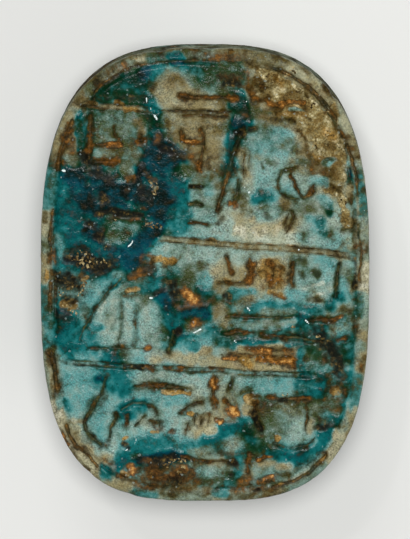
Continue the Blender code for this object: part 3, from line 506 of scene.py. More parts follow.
    ("grey", (0.3, 11, -1.9, 11, -3.6)), ("lagoon", (0.32, 10.3, -4.9, 10.2, -6.2, 10.2, -8.6)),
    ("khaki", (0.34, 11.1, -4.6, 11, -6.2, 10.9, -8.2)),
    ("olive", (0.18, 1.4, -3.3, 3.4, -3.4, 6.4, -3.42)), ("soot", (0.22, 10.65, 0.8, 10.65, -2.4)),
    ("rust", (0.22, -2.8, -7, -2.4, -7), (0.22, -1.8, -7.05, -1.6, -7.05),
     (0.2, 4.4, 0.5, 4.7, 0.3), (0.22, 9.3, -5.1, 9.8, -5), (0.2, 4.6, -0.4, 4.9, -1.1),
     (0.26, 10.9, -6.2, 11, -6.9)),
    ("umber", (0.22, 1.6, 0.8, 1.9, 0), (0.28, 3.25, 0.7, 3.35, 0, 3.2, -0.7),
     (0.3, -0.1, -2, 0.4, -2.1), (0.15, 1.1, -2.15, 1.8, -2.25), (0.24, 7.4, -3.6, 8.6, -3.6),
     (0.18, 1.3, -4.55, 3.3, -4.55), (0.22, 5.4, 0.1, 5.2, -0.9), (0.24, 6.2, 0.5, 6.15, -1),
     (0.18, 4.2, -1.2, 4.8, -1.25), (0.16, 2.1, -3.3, 3.2, -3.35)),
    ("murk", (0.16, -0.9, -7.05, 0.1, -7.15), (0.4, 5.4, -4.8, 6.8, -5), (0.22, 6.6, 0.6, 6.9, 0.4),
     (0.2, 6.6, -0.3, 6.9, -0.6), (0.26, 7.5, -0.2, 7.8, -0.4), (0.3, 9.6, -2.9, 10.6, -3.2),
     (0.2, 6.2, -4.1, 6.6, -4.4)),
    ("teal", (0.32, 6.6, -5.6, 6.7, -6.6)),
    ("rust", (0.18, 1.75, 0.5, 1.9, -0.3), (0.22, 3.3, 0.4, 3.3, -0.4), (0.2, 8, -3.5, 8.4, -3.7),
     (0.16, 1.9, -4.45, 2.8, -4.5), (0.2, 4.8, -1.8, 5.5, -1.9), (0.16, 8.8, -3.75, 9.6, -3.4)),
    ("turquoise", (0.32, 7.3, -6.6, 8.1, -6.9)), ("gold", (0.3, 3.6, -6.25, 4.8, -6.3, 6.1, -6.3)),
    ("beige", (0.26, 4.4, -5.5, 5.2, -5.5)), ("turquoise", (0.45, 3, -7.9, 4.4, -7.9, 6, -7.8)),
    ("pale", (0.36, 1.4, -7.8, 2.4, -7.9)), ("deep", (0.5, 7, -7.6, 8, -7.8)),
    ("rust", (0.2, 3, -5.5, 3.3, -5.55), (0.26, 5.6, -5.7, 6.1, -6.2, 6.2, -6.8),
     (0.22, 0.2, -7.1, 1.1, -7.15)),
    ("olive", (0.2, 1.4, -7.3, 3.8, -7.4, 6.4, -7.45)),
    ("orange", (0.18, 3, -0.75, 3.4, -0.7), (0.26, 3.7, -5.7, 4.4, -5.8)),
    ("umber", (0.18, 3.9, -4.6, 5.4, -4.8), (0.22, 7, -6.3, 7.3, -6.3), (0.24, 8, -6.2, 8.3, -6.4),
     (0.16, 3.4, -7.35, 4.8, -7.35), (0.5, 8.9, -7.4, 9.5, -7.8), (0.14, 1.2, -1, 2.9, -0.85),
     (0.12, 1.2, -5.98, 3.4, -6.1, 6, -6.08), (0.26, 10.5, -3.6, 10.6, -4.2)),
    ("rust", (0.18, 10.55, -3.9, 10.6, -4.1), (0.24, 9, -7.6, 9.4, -7.8)),
    ("orange", (0.14, 1.3, -6.2, 2.3, -6.3), (0.22, 3.7, -6.35, 4.8, -6.4, 6, -6.45)),
    ("soot", (0.12, 4.4, -6.65, 4.7, -6.7)),
    # tail end
    ("tan", (0.34, -0.9, 11.5, -0.3, 11.5), (0.28, 0.6, 10.5, 1, 10.5),
     (0.22, 10.3, 5.8, 10.3, 5.2)),
    ("khaki", (0.45, -11, -6.6, -10.9, -8.4, -10.4, -10.2, -9.6, -11.9, -8.8, -13.1),
     (0.34, -8.4, -13.4, -7.4, -14.2), (0.34, -7, -14.3, -6, -15, -4.9, -15.4)),
    ("turquoise", (0.75, -9, -9.2, -8.6, -8.6), (0.6, -7.4, -10.2, -7.4, -11.2),
     (0.5, -5.8, -9, -3.4, -9, -1.8, -9.4), (0.32, -4.7, -15.5, -3.9, -15.7)),
    ("grey", (0.3, -7.6, -12.8, -7.2, -12.8)),
    ("teal", (0.26, -10, -9.2, -9.7, -9.7), (0.2, -3.6, -15.9, -3.2, -15.9),
     (0.26, -7.8, -3.9, -7.5, -3.9), (0.28, -1.1, -5.3, -0.7, -5.3)),
    ("deep", (0.32, -5.9, -8.5, -5.2, -8.3), (0.34, -5.7, -9.7, -4.9, -9.3, -4.2, -9.4),
     (0.3, -5.6, -10.1, -5.1, -10), (0.46, 7.2, -8.4, 8, -8.6)),
    ("pale", (0.5, -2.6, -10.4, -2.2, -9.8), (0.4, -5.3, -11.1, -4.7, -11.5),
     (0.4, 2.2, -8.6, 2.5, -9.2)),
    ("turquoise", (0.32, -2.8, -9.3, -1.9, -9), (0.4, 3.8, -8.3, 5.4, -8.4)),
    ("beige", (0.26, -9.3, -10.6, -9, -11.1), (0.3, -7.1, -13.2, -6.7, -13.1),
     (0.4, -0.6, -11.4, 0.3, -11.2), (0.26, -2.4, -15.7, -0.8, -15.6)),
    ("cream", (0.15, -9.3, -10.5, -8.7, -10.6)),
    ("teal", (0.5, -6.5, -14.6, -6.2, -13.6, -5.5, -12.8, -4.6, -12.2, -3.6, -12.1)),
    ("deep", (0.26, -6.2, -14, -5.6, -13.1, -4.8, -12.6, -3.8, -12.5)),
    ("teal", (0.42, -3.6, -12.1, -2.2, -12.3, -1, -12.3, 0, -12.1),
     (0.3, -5.2, -12.4, -4, -12.1, -2.8, -12)),
    ("navy", (0.34, -4.7, -13.4, -3.6, -13.3, -2.2, -13, -1.5, -13.2),
     (0.4, -3.6, -13.9, -2.6, -13.4)),
    ("green", (0.28, -1, -12.8, 0.4, -12.8), (0.4, -0.8, -14, 0.3, -14.3),
     (0.28, -6.4, -0.4, -6, -0.4)),
    ("murk", (0.5, -3.6, -14.4, -2.2, -14.8, -1.2, -14.8), (0.2, 1.9, -7.5, 1.75, -8.4),
     (0.25, 2.7, -8.6, 3.1, -8.7)),
    ("umber", (0.2, -4.8, -8.2, -2.5, -8.25, -1, -8.4), (0.2, -6.7, -11.7, -6.6, -10.9, -6.25, -10),
     (0.24, -3.7, -9.6, -3.5, -10.1), (0.26, -1.7, -10, -1.1, -9.6, -0.3, -9.4),
     (0.6, -3.6, -14.3, -2.2, -14.4, -1.2, -14.7),
     (0.24, -7.2, -8.9, -8, -9.8, -8.5, -10.7, -8.4, -11.3), (0.22, -3.9, -10.7, -3.2, -10.9),
     (0.3, 9.5, -7.2, 9.7, -7.6), (0.4, 2.6, 13.1, 3.2, 12.9), (0.26, 10.6, 1.3, 10.6, 0.7)),
    ("soot", (0.34, -2.6, -14.9, -2, -15.1), (0.3, -3.3, -13.4, -2.2, -13.2),
     (0.22, -5.75, -12.4, -5.6, -12.6)),
    ("rust", (0.16, -4.2, -8.2, -3, -8.2), (0.26, -5.55, -10.3, -5.6, -10.7),
     (0.42, -5.4, -14.2, -5.1, -14.2), (0.24, -3.4, -11.4, -3.1, -11.3),
     (0.2, -2.4, -11.4, -2.2, -11.5), (0.22, -1.35, -11.4, -1.25, -11.1),
     (0.34, -1.6, -14.2, -0.9, -14.6), (0.2, -1.6, -13.15, -0.8, -13.35)),
    ("pale", (0.3, 0.1, -8.8, 0.2, -9.6)),
    ("gold", (0.18, -3, -8.6, -1.1, -8.65), (0.15, -1.2, -10.1, -0.9, -10.1),
     (0.24, -5.8, -14.4, -5.5, -14.5), (0.16, -3.6, -11.5, -3.3, -11.5),
     (0.18, -5.75, -11.9, -5.65, -11.8)),
    ("olive", (0.22, -6.4, -11.5, -6.2, -11.7)),
    ("murk", (0.2, -5.2, -8.4, -4.9, -8.3), (0.2, -7, -7.8, -7.1, -8.7),
     (0.2, -8.2, -11.7, -7.5, -12.3), (0.14, -4.9, -10.95, -4.3, -10.5)),
    ("teal", (0.36, -7.5, -6.4, -6.8, -7.8)), ("turquoise", (0.32, -8.7, -6.2, -8, -6.3)),
    ("umber", (0.3, -4.6, -13.4, -4.1, -13.4), (0.36, -4.6, -14.8, -4.2, -14.9),
     (0.22, -9.9, -10.2, -9.3, -11.2, -8.9, -12.1, -8.4, -12.7),
     (0.16, -8, -13, -7, -13.6, -6.7, -13.8), (0.18, -0.8, -13.4, 0, -13.55),
     (0.3, 0.6, -7.8, 0.6, -8.3)),
    ("rust", (0.2, -4.1, -13.4, -3.9, -13.5), (0.3, -4, -14.1, -3.4, -14.3),
     (0.24, -3.2, -14.9, -2.2, -14.6), (0.36, -4, -15, -3.6, -15.2),
     (0.24, -8.7, -13.3, -8.2, -13.7)),
    ("orange", (0.2, -5.3, -13.8, -5.1, -14.3), (0.26, -0.5, -10.8, 0, -10.9),
     (0.3, 0.5, -8.1, 0.7, -8.3)),
    ("beige", (0.36, 0.1, -10.4, 0.6, -10.7, 0.1, -11.4), (0.28, 0.6, -13.7, 1, -13.7)),
    ("deep", (0.45, 0.3, -11.8, 1.4, -11.1, 2.4, -10.8, 3, -10.4), (0.34, 3.1, -11.3, 3.3, -12)),
    ("ash", (0.46, 1.8, -12.4, 2.2, -12.4)), ("moss", (0.34, 4, -12.3, 4.7, -12.6)),
    ("bone", (0.28, 0.2, -11.3, 0.5, -11.3), (0.32, -0.4, -10.6, 0, -10.6)),
    ("green", (0.6, 5, -10.4, 4.6, -11.4), (0.26, 0.2, -13.2, 1, -13.2)),
    ("beige", (0.32, 3.1, -9.9, 3.5, -9.9)),
    ("rust", (0.22, 0.7, -8.9, 0.75, -9.6), (0.2, 0.3, -10.1, 0.3, -10.2)),
    ("grey", (0.85, 6, -10.3, 6.3, -11.3), (0.35, 7.7, -10.2, 7.8, -9.9)),
    ("green", (0.4, 5.3, -9.8, 5.6, -11)), ("beige", (0.24, 7.5, -10.6, 7.5, -11.2)),
    ("deep", (0.46, 5.2, -12.9, 6.4, -13.3, 7.4, -12.8, 8.4, -11.8),
     (0.36, 8.9, -11.2, 9.5, -10.4, 9.9, -9.4)),
    ("mud", (0.4, 9, -9.2, 9.3, -9.9)), ("gold", (0.18, 5.1, -11.7, 5.3, -11.9)),
    ("umber", (0.36, -1.4, -14.8, -1, -15.1, 0, -15.2), (0.22, -7.8, -14, -7.2, -14.3),
     (0.34, 9, -9.3, 9.4, -9.8), (0.38, 9, -7.2, 9.3, -7.7), (0.16, 1.4, -9, 1.8, -9.5),
     (0.36, 1.6, -9.9, 2.2, -9.9)),
    ("pale", (0.45, 0.3, -14.4, 1, -14.5)),
    ("teal", (0.34, 2.6, -13.2, 2.3, -14.3, 1.5, -15.2, 1.1, -15.8)),
    ("turquoise", (0.3, 10.4, -8.4, 10.3, -9.2), (0.2, 2.6, -15.7, 3.1, -15.7)),
    ("grey", (0.3, 3.6, -13.25, 3.7, -13.3)), ("gold", (0.34, 3.1, -9.2, 3.4, -9.4)),
    ("beige", (0.24, 0, -15.7, 0.6, -15.7), (0.34, 4, -13.8, 4.6, -13.8)),
    ("green", (0.34, 3.8, -14.4, 4.8, -14.3)), ("beige", (0.26, 5.2, -14, 6, -13.9)),
    ("orange", (0.26, 1.7, -9.9, 2.1, -9.9), (0.18, 0.7, -10.5, 0.9, -10.6)),
    ("murk", (0.26, 1, -12.9, 1.4, -13.1), (0.4, 8.2, -10, 8.6, -10.8),
     (0.15, 4.9, -12.1, 5.8, -12.6, 7, -12.4)),
    ("khaki", (0.36, 10.6, -9.6, 10.2, -11, 9.5, -12)),
    ("grey", (0.34, 9.2, -12.4, 8.2, -13.5, 7.2, -14.3, 6, -14.8), (0.24, 5.2, -15.2, 4.4, -15.5)),
    ("umber", (0.16, -0.2, -13.5, 0.6, -13.65, 1.4, -13.72), (0.3, 1, -15.25, 0.2, -15.2),
     (0.24, 8.3, -12.7, 7.6, -13.3, 7, -13.8, 6, -14.35, 5, -14.8), (0.3, 3.5, -9.2, 3.6, -9.8),
     (0.26, 4.1, -9.3, 4.4, -9, 4.9, -9)),
    ("soot", (0.22, -2.9, -15.3, -2.6, -15.7), (0.24, 9.1, -7.2, 9.3, -7.5),
     (0.34, 1.9, -13.7, 2, -13.7), (0.26, 8, -11, 8.4, -11),
     (0.28, 3.5, -10.2, 3.8, -11, 4, -11.4)),
    ("rust", (0.22, 1.9, -13.65, 2, -13.7), (0.18, 3.1, -13.1, 3.05, -14.3),
     (0.18, 4.4, -9, 4.7, -9)),
    ("soot", (0.22, 5.2, -9.2, 5.8, -9.2)),
    ("umber", (0.28, 8.7, -8.2, 8.6, -9, 9.1, -9.3, 9.7, -9.1, 9.8, -8.4),
     (0.22, 9.6, -11, 9.1, -11.6), (0.3, 5, -14.8, 4, -15.05, 2.4, -15.1),
     (0.24, 6.5, -9.2, 7.4, -9.2)),
    ("rust", (0.18, 9.2, -10, 9.4, -10), (0.2, 4.4, -15.1, 3.4, -15.15, 2.4, -15.2),
     (0.2, 4.9, -14.8, 3.9, -14.95, 2.6, -15), (0.18, 6.6, -9.15, 7.3, -9.1)),
    ("gold", (0.32, 9.1, -8.6, 9.3, -8.6)),
    ("murk", (0.14, 3, -12.95, 3.9, -13), (0.2, 1.6, -14.6, 1.9, -14.6)),
    ("umber", (0.26, 1.9, -15.6, 2.2, -15.8), (0.17, 7.2, -9.6, 7.1, -11.3)),
    ("soot", (0.16, 3.5, -15.6, 3.8, -15.6)),
    ("orange", (0.15, 3.7, -13.5, 4.2, -13.2, 4.7, -13.15), (0.12, 4.7, -14.75, 4.2, -14.85)),
)
# Soft shades over the paint: how much darker and warmer, half width and places.
softShades = (
    (0.3, 0.1, 0.8, -4.4, 15.3, 0, 15.5, 4.4, 15.3), (0.35, 0, 0.9, -6.6, 14, -5.6, 14.4),
    (0.45, 0.2, 1, 0, 13.6, 1.6, 13.2), (0.35, 0.5, 1, 1.8, 12.2, 3, 11.6),
    (0.5, 0.3, 1, 2.8, 11, 4.2, 10.4), (0.3, 0.3, 0.8, -7.2, 11.4, -4.2, 11.2),
    (0.2, 0.5, 0.9, -6.4, 9.6, -3.6, 9.9), (0.3, 0.1, 0.9, 3.4, 9.2, 5, 8.6),
    (0.1, 1, 0.8, -9.6, 8.8, -9.2, 7.9), (0.1, 0.8, 0.9, -2.4, 8.8, 1, 8.2),
    (0.35, 0.7, 0.8, -2, 7.4, 0.4, 7.2), (0.25, 0.7, 0.8, -8.4, 7.7, -4.4, 7.8),
    (0.25, 0.2, 1.2, -8.8, 6, -5.6, 6.6), (0.35, 0.2, 0.8, -1.2, 6.6, 0, 6.4),
    (0.3, 0.5, 0.7, 6.6, 7.4, 8.4, 6.9), (0.25, -0.4, 0.8, 7.6, 4.2, 8.8, 3.6),
    (0.2, 0.5, 0.6, 5.2, 5.8, 5.6, 5), (0.4, 0.1, 0.9, -7.6, 3.4, -5.6, 3.6),
    (0.3, 0, 0.8, -3.6, 4.4, -2.4, 3.6), (-0.4, 0.1, 1, 2.8, 2.4, 4.6, 2.2),
    (-0.5, 0.1, 0.9, 2.8, 1.1, 4.2, 0.8), (-0.3, 0.1, 0.9, -1.4, 2.6, 1, 3),
    (-0.35, 0.1, 0.7, 8.6, 1.6, 9.4, 1), (0.5, 0.2, 0.8, -2.2, 0, -0.8, -0.2),
    (-0.25, 0.6, 1, 3.4, -0.2, 5.4, -0.6), (0.15, 0.9, 0.8, -4.6, -0.6, -3, -0.8),
    (0.3, 0.4, 0.9, -2, -2, -0.6, -2.2), (-0.35, 0, 0.9, -5.4, -3.2, -5.9, -3.9),
    (-0.25, 0, 0.8, -7.4, -1.6, -7, -2.2), (0.25, 0.2, 0.8, 8.8, -3.2, 9.8, -3.2),
    (0.1, 0.7, 0.9, 3, -2.2, 4.2, -4.4), (-0.3, 0.1, 0.9, -8.8, -6.4, -7.6, -6.8),
    (-0.4, 0.1, 0.8, -4.2, -6.6, -1, -6.4), (-0.35, 0.2, 0.8, 1.4, -6.6, 5.2, -6.6),
    (0.2, 0.1, 0.8, 7.6, -6.6, 8.2, -8.4), (-0.35, 0, 0.8, -11, -5.6, -10.9, -8),
    (-0.1, 0.2, 0.8, 4.2, -9.4, 7.6, -9.8), (0.05, 0.9, 0.8, 0.8, -9.2, 2, -10.2),
    (-0.4, 0, 1, -9.8, -10.2, -7.6, -10.6), (-0.45, 0, 0.9, -8.8, -12.4, -7.6, -13.2),
    (-0.45, 0, 0.7, -6, -12.2, -4.4, -11.8), (-0.35, 0, 0.7, -2.6, -11.8, -1.8, -12.2),
    (-0.45, 0.5, 0.8, -0.2, -11, 1.2, -11.2), (0.5, 0.2, 0.8, 4.2, -10.4, 4.6, -11.4),
    (-0.4, 0, 0.6, 8.8, -12, 8.4, -13.2), (0.15, 0.8, 0.9, 0.4, -13.2, 3, -14.2),
    (0.35, 0.3, 0.7, -3.4, -15.2, 2.4, -15.5), (-0.35, 0, 0.6, 11.1, 0.4, 11.2, -1.6),
    (-0.4, 0.1, 0.6, 7.2, 13.6, 8.4, 12.6), (0.35, -0.5, 0.8, 7.2, 2.4, 8.6, 2.2),
    (-0.4, 0.2, 0.8, 3.6, 2.5, 4.8, 2.3), (0.15, 0.1, 1, -2.4, 12.8),
    (-0.85, 0.4, 0.9, 4.4, -0.2, 5.2, -0.6), (-0.25, 0.2, 0.6, 1.9, -12.5),
    (0.2, 0.8, 0.9, -3.6, -14.4, -1.6, -14.8), (0, 0.7, 0.6, 1.2, 1.2),
    (-0.85, 0.6, 0.8, 3.2, -6.2, 5.8, -6.3), (0.25, 0, 0.8, 0.2, 9, 1, 9.4),
    (0.3, 0.1, 1, 4.8, 12.8, 6, 12.2), (0.6, -0.2, 0.9, -8, 12.4, -6.6, 13, -5.2, 13.2),
    (0.45, 0, 0.5, -8.9, 11, -8.8, 9), (0.6, 0.2, 0.7, -5.2, 3, -4.5, 2.7),
    (-0.4, 0, 0.6, -7.1, -7.6, -6.7, -8), (-0.35, -0.2, 0.5, -7.5, -6.4, -7, -6.4),
    (0.6, 0.2, 0.6, 0.9, -4.8, 1.5, -5), (0.55, 0.2, 0.6, -1.6, -3.8, -1, -4),
    (0.4, -0.3, 0.5, -1.1, -5.3, -0.7, -5.3), (-0.5, -0.2, 0.5, -6.1, -1, -5.7, -1.2),
    (-0.4, -0.2, 0.5, -5.4, -3, -5.1, -3.4), (-0.45, -0.3, 0.5, 6.6, 2.2, 7.1, 2),
    (0.35, 0.2, 0.5, 4.5, 7.4, 4.9, 7.2), (-0.35, 0.5, 0.5, -1.2, 11.9, -0.6, 11.9),
    (-0.45, 0.2, 0.4, 1.4, 9.3, 1.5, 8.9), (-0.45, 0, 0.6, 8, 12.1, 8.4, 11.7),
    (-0.45, 0, 0.6, 5.9, 13.7, 6.4, 13.6), (-0.3, 0.1, 0.5, 5.5, 12, 5.9, 11.8),
    (-0.35, -0.2, 0.5, -9.4, 1.6, -9.4, 1.2), (-0.1, 0.8, 0.3, -10.4, 0.9, -10.4, 0.5),
    (0.3, 0.6, 0.4, -8.9, -0.4, -8.5, -0.4), (0.5, -0.3, 0.4, -1.5, -1.8, -1.1, -1.8),
    (0.45, 0.3, 0.5, 3.2, -11.8, 3.4, -12.2), (-0.25, 0.6, 0.5, 2.7, -9.8, 3.1, -10),
    (-0.4, -0.2, 0.5, -0.5, -14.4, 0.1, -14.4), (-0.3, 0.3, 0.4, -6.8, -13.6, -6.4, -13.8),
    (0.4, 0.3, 0.6, 7.3, -6.3, 7.7, -6.5), (-0.4, 0.1, 0.5, 9.1, -4.8, 9.4, -5),
    (0.4, 0.3, 0.5, 9, -9.3, 9.4, -9.8), (0.4, 0.2, 0.5, 2.7, 13, 3.1, 13),
    (-0.4, 0, 0.5, -8.2, -11.9, -7.8, -12.1), (0.4, 0.1, 0.5, -0.4, 4.3, 0, 4.1),
    (-0.4, 0, 0.5, -0.1, 7.4, 0.3, 7.2), (0.4, 0.1, 0.6, 7.6, 4.6, 8, 4.4),
    (-0.35, 0.2, 0.5, -9.4, 9.6, -9.4, 9.2), (0.4, 0.3, 0.5, 6.2, -9.9, 6.6, -9.9),
    (0.3, 0.5, 0.4, 10.3, 4.7, 10.3, 4.3), (0.4, 0.2, 0.5, 10.3, -5.1, 10.3, -5.5),
    (-0.1, 0.8, 0.4, -7.1, -13.3, -6.7, -13.5), (-0.25, 0.5, 0.4, -0.4, 9.1, 0, 9.1),
    (-0.4, 0.1, 0.5, -4.3, -6.7, -3.9, -6.7), (-0.35, 0.1, 0.5, 3.1, -14.4, 3.5, -14.4),
)
# Patches on the rim: paint, half width, inset from the outer edge, and where they start and stop
# on the way round, clockwise from the middle of the head end.
rimPatches = (
    ("umber", 0.45, 0.35, -0.4, 1.2), ("rust", 0.22, 0.5, 0, 1.2), ("tan", 0.35, 0.3, 1.2, 2.6),
    ("umber", 0.42, 0.4, 1, 3.2), ("rust", 0.2, 0.72, 0.6, 2.3), ("gold", 0.12, 0.35, 1.8, 2.1),
    ("umber", 0.28, 0.45, 2.7, 3.3), ("beige", 0.42, 0.35, 3.6, 6.4),
    ("olive", 0.38, 0.4, 3.6, 5.8), ("umber", 0.14, 0.15, 4.2, 5.4), ("bone", 0.35, 0.3, 6.7, 8.8),
    ("umber", 0.13, 0.12, 7, 7.9), ("rust", 0.1, 0.6, 6.6, 8.4), ("tan", 0.14, 0.45, 8, 8.8),
    ("cream", 0.22, 0.85, 6.5, 7.1), ("umber", 0.2, 0.1, 9.3, 10.4), ("bone", 0.32, 0.85, 6.4, 7.8),
    ("tan", 0.32, 0.85, 9, 10.4), ("bone", 0.3, 0.25, 12.2, 13.3), ("umber", 0.24, 0.5, 13.5, 13.9),
    ("tan", 0.35, 0.4, 14.1, 15.5), ("umber", 0.22, 0.3, 14.5, 15),
    ("rust", 0.16, 0.55, 14.3, 14.6), ("ash", 0.28, 0.4, 15.5, 16.2),
    ("lagoon", 0.3, 0.45, 16.3, 17.7), ("umber", 0.2, 0.2, 17.5, 17.9),
    ("lagoon", 0.28, 0.38, 18.4, 19.6), ("ash", 0.35, 0.4, 20, 21.1),
    ("umber", 0.28, 0.45, 21.5, 22.7), ("rust", 0.18, 0.5, 21.8, 22.5),
    ("ash", 0.3, 0.4, 22.8, 23.4), ("buff", 0.42, 0.28, 23.4, 24.9), ("grey", 0.35, 0.4, 25, 27.1),
    ("moss", 0.25, 0.75, 25, 26.9), ("umber", 0.25, 0.7, 27.1, 27.8), ("tan", 0.22, 0.2, 28.2, 29),
    ("green", 0.3, 0.5, 28.9, 29.7), ("tan", 0.3, 0.25, 29.5, 30.7),
    ("umber", 0.16, 0.25, 29.6, 30.1), ("rust", 0.14, 0.3, 30.3, 30.6),
    ("lagoon", 0.32, 0.45, 31.2, 33.2), ("bone", 0.15, 0.2, 33.4, 33.7),
    ("beige", 0.22, 0.2, 33.9, 35.2), ("ash", 0.2, 0.55, 34.2, 35), ("bone", 0.18, 1, 35.3, 35.7),
    ("bone", 0.35, 0.3, 35.3, 37.2), ("green", 0.3, 0.2, 37.8, 41.2), ("tan", 0.25, 0.3, 41.2, 42),
    ("umber", 0.3, 0.75, 42.1, 44.9), ("rust", 0.18, 0.8, 42.4, 44.6),
    ("umber", 0.2, 0.25, 41.5, 45.1), ("teal", 0.25, 0.6, 45.3, 45.9),
    ("ash", 0.28, 0.35, 46.9, 48.6), ("umber", 0.3, 0.9, 46, 48.4), ("murk", 0.4, 0.8, 49, 49.9),
    ("lagoon", 0.26, 0.28, 50.1, 51.8), ("umber", 0.3, 0.95, 50.1, 51.8),
    ("rust", 0.2, 0.95, 50.4, 51.5), ("tan", 0.3, 0.45, 52, 53.2), ("rust", 0.18, 1.05, 52.5, 52.9),
    ("deep", 0.36, 0.75, 53.6, 54.2), ("tan", 0.38, 0.4, 54.6, 56.6),
    ("buff", 0.34, 0.36, 56.6, 58.6), ("bone", 0.26, 0.75, 54.6, 55.8),
    ("bone", 0.25, 0.3, 54.8, 56), ("rust", 0.14, 0.1, 56.5, 57.1), ("rust", 0.1, 0.16, 55, 56.1),
    ("orange", 0.1, 0.14, 57.5, 58.7), ("buff", 0.35, 0.32, 59, 60.9),
    ("turquoise", 0.22, 0.6, 60, 60.9), ("ash", 0.32, 0.3, 61.1, 64.2),
    ("tan", 0.16, 0.45, 61.3, 63.7), ("teal", 0.36, 0.55, 64.4, 65.7),
    ("moss", 0.3, 0.6, 65.8, 66.6), ("lagoon", 0.26, 0.2, 66.2, 68.8),
    ("tan", 0.24, 0.2, 69.1, 70.4), ("gold", 0.16, 0.42, 69.2, 70), ("tan", 0.2, 0.4, 70.2, 71.2),
    ("rust", 0.13, 0.58, 70.3, 71.8), ("grey", 0.36, 0.3, 71.7, 72.6),
    ("bone", 0.36, 0.32, 72.4, 74.1), ("umber", 0.18, 0.35, 73.2, 73.7),
    ("moss", 0.3, 0.6, 74.8, 76.9), ("lagoon", 0.32, 0.25, 74.3, 77.2),
    ("umber", 0.38, 0.55, 77.4, 78.7), ("tan", 0.34, 0.4, 78.6, 81.1),
    ("rust", 0.14, 0.55, 79.3, 80.8), ("tan", 0.26, 0.45, 82.2, 83.5),
    ("grey", 0.26, 0.5, 83.6, 84.3), ("umber", 0.32, 0.6, 84.5, 86.2),
    ("rust", 0.14, 0.45, 86.1, 86.4), ("umber", 0.28, 0.5, 86.5, 87.4),
    ("rust", 0.16, 0.5, 86.6, 87.2), ("olive", 0.42, 0.4, 82.8, 87.8),
    ("olive", 0.34, 0.5, 89.2, 91), ("murk", 0.2, 0.3, 85, 86), ("bone", 0.14, 0.4, 88.2, 88.8),
    ("moss", 0.28, 0.5, 89, 89.9), ("umber", 0.26, 0.4, 90, 91), ("navy", 0.24, 0.5, 90.6, 91.2),
    ("blue", 0.24, 0.85, 90.7, 91.5), ("umber", 0.3, 0.5, 92.6, 93.8),
)

# The cut line inside the rim, where it shows: half width, depth, inset and way round as above.
rimCuts = (
    (0.08, 0.09, 0.8, 8, 11.8), (0.11, 0.1, 0.75, 13.9, 17.7), (0.09, 0.09, 0.78, 20, 23.9),
    (0.13, 0.12, 0.72, 37.2, 41.4), (0.1, 0.1, 0.8, 54.5, 56.9), (0.17, 0.16, 0.66, 56.9, 58.5),
    (0.19, 0.18, 0.76, 61.1, 63.8), (0.14, 0.12, 0.7, 66.7, 68.9), (0.1, 0.07, 0.74, 70.4, 74.2),
    (0.15, 0.14, 0.8, 77.3, 81.1), (0.08, 0.06, 0.84, 84.2, 88.4), (0.06, 0.05, 0.88, 88.4, 93.2),
)

# Quartz grains that stand in pits and in the bare paste: half width and places.
gritMarks = (
    (0.34, -3.7, 5.9, -3.35, 5.6), (0.18, -4.4, 4.4), (0.26, -4.3, 3.2, -3.8, 3.1, -3.4, 2.95),
    (0.15, -6.3, 3.5), (0.34, -9.2, 0.9, -8.4, 0.8), (0.3, -8.9, 0.2, -7.2, 0.5),
    (0.3, -10.1, -1.6, -9.2, -1.1), (0.28, -9.8, -2.5, -9.1, -3.1), (0.2, -8.7, -1.8, -8.4, -0.8),
    (0.2, -7, 1.5), (0.26, -3, -13.8, -2.4, -13.9), (0.2, -2.2, -13.5, -1.5, -13.5),
    (0.26, -1.6, -14.1, -1.9, -14.5), (0.2, -5.75, -11.9), (0.3, 4, 13.5, 5, 13.2),
    (0.26, 5.7, 13.5, 6.2, 13.8), (0.2, 6.4, 12.6, 6.7, 12.5), (0.2, 7.5, 11.4, 7.9, 12),
    (0.24, 8.6, 11, 8.7, 10.8), (0.24, 8.5, 9.5, 8.8, 9.5), (0.24, 7.6, 9, 7.8, 8.6),
    (0.2, 9.8, 4.8, 9.9, 4.6), (0.18, 7.8, -4.8), (0.2, 5.5, -8.8, 5.8, -8.7),
    (0.2, -5, 14.8, -4.7, 14.8), (0.14, 2.95, -15.1), (0.18, 6, -4.2),
)
# Glassy drops that catch the light; each is also painted with a white glint, a painted highlight.
glassDropsAndGlints = (
    (0.09, -4.1, 12, -4.05, 11.7), (0.12, -3.85, 11.3, -3.7, 11.05),
    (0.12, -3.55, 10.8, -3.35, 10.5), (0.1, 2.7, 12.3), (0.08, 2.9, 11.75),
    (0.13, -10, 6.95, -9.85, 6.9), (0.11, -10.1, 6.45), (0.08, -8.6, 7, -8.5, 6.9),
    (0.08, -8.6, 5.6), (0.07, -9.1, 3.4), (0.08, -8.1, 3.7), (0.08, -8.35, 2),
    (0.09, -5.4, 1.6, -5.2, 1.75, -5.05, 2.05), (0.12, -3.9, -2, -3.7, -2), (0.1, -3.4, -1.85),
    (0.1, 2.75, 5.75), (0.15, 3.1, 5.4), (0.14, -0.8, -4.45, -0.3, -4.2),
    (0.09, 7.05, -3.55, 7.3, -3.8), (0.12, 2.98, -2.7, 3.15, -2.9), (0.08, 2.05, -5, 2.2, -5.15),
    (0.07, -4.95, -11.75, -4.85, -12, -4.95, -12.3), (0.06, -5.4, -12.65, -5.6, -12.75),
    (0.06, -6.5, -12.8), (0.08, -6.4, -12.7), (0.12, 6.6, 1.35), (0.08, -8.7, 11.1),
    (0.08, -8.9, 10.5), (0.09, -1.4, 15.1), (0.09, 11.2, 4.1), (0.08, 1.4, 3.3), (0.08, 0.6, 3.85),
    (0.08, -0.2, -0.3), (0.08, -0.6, -1.2), (0.08, 9.4, -2.2), (0.07, 5.95, -12.6),
    (0.07, -2.3, 6.05), (0.08, -1.1, 5.2),
)


def superGauge(across, along, power):
    # A superellipse: the power's root of the sum of both shares raised to it, 1 on the outline.
    return (np.abs(across) ** power + np.abs(along) ** power) ** (1 / power)


def plinthGauge(x, y):
    # One power before the middle and another behind.
    power = np.where(y > 0, blockForm["headEndPower"], blockForm["tailEndPower"])
    return superGauge(x / halfWidth, y / halfLength, power)


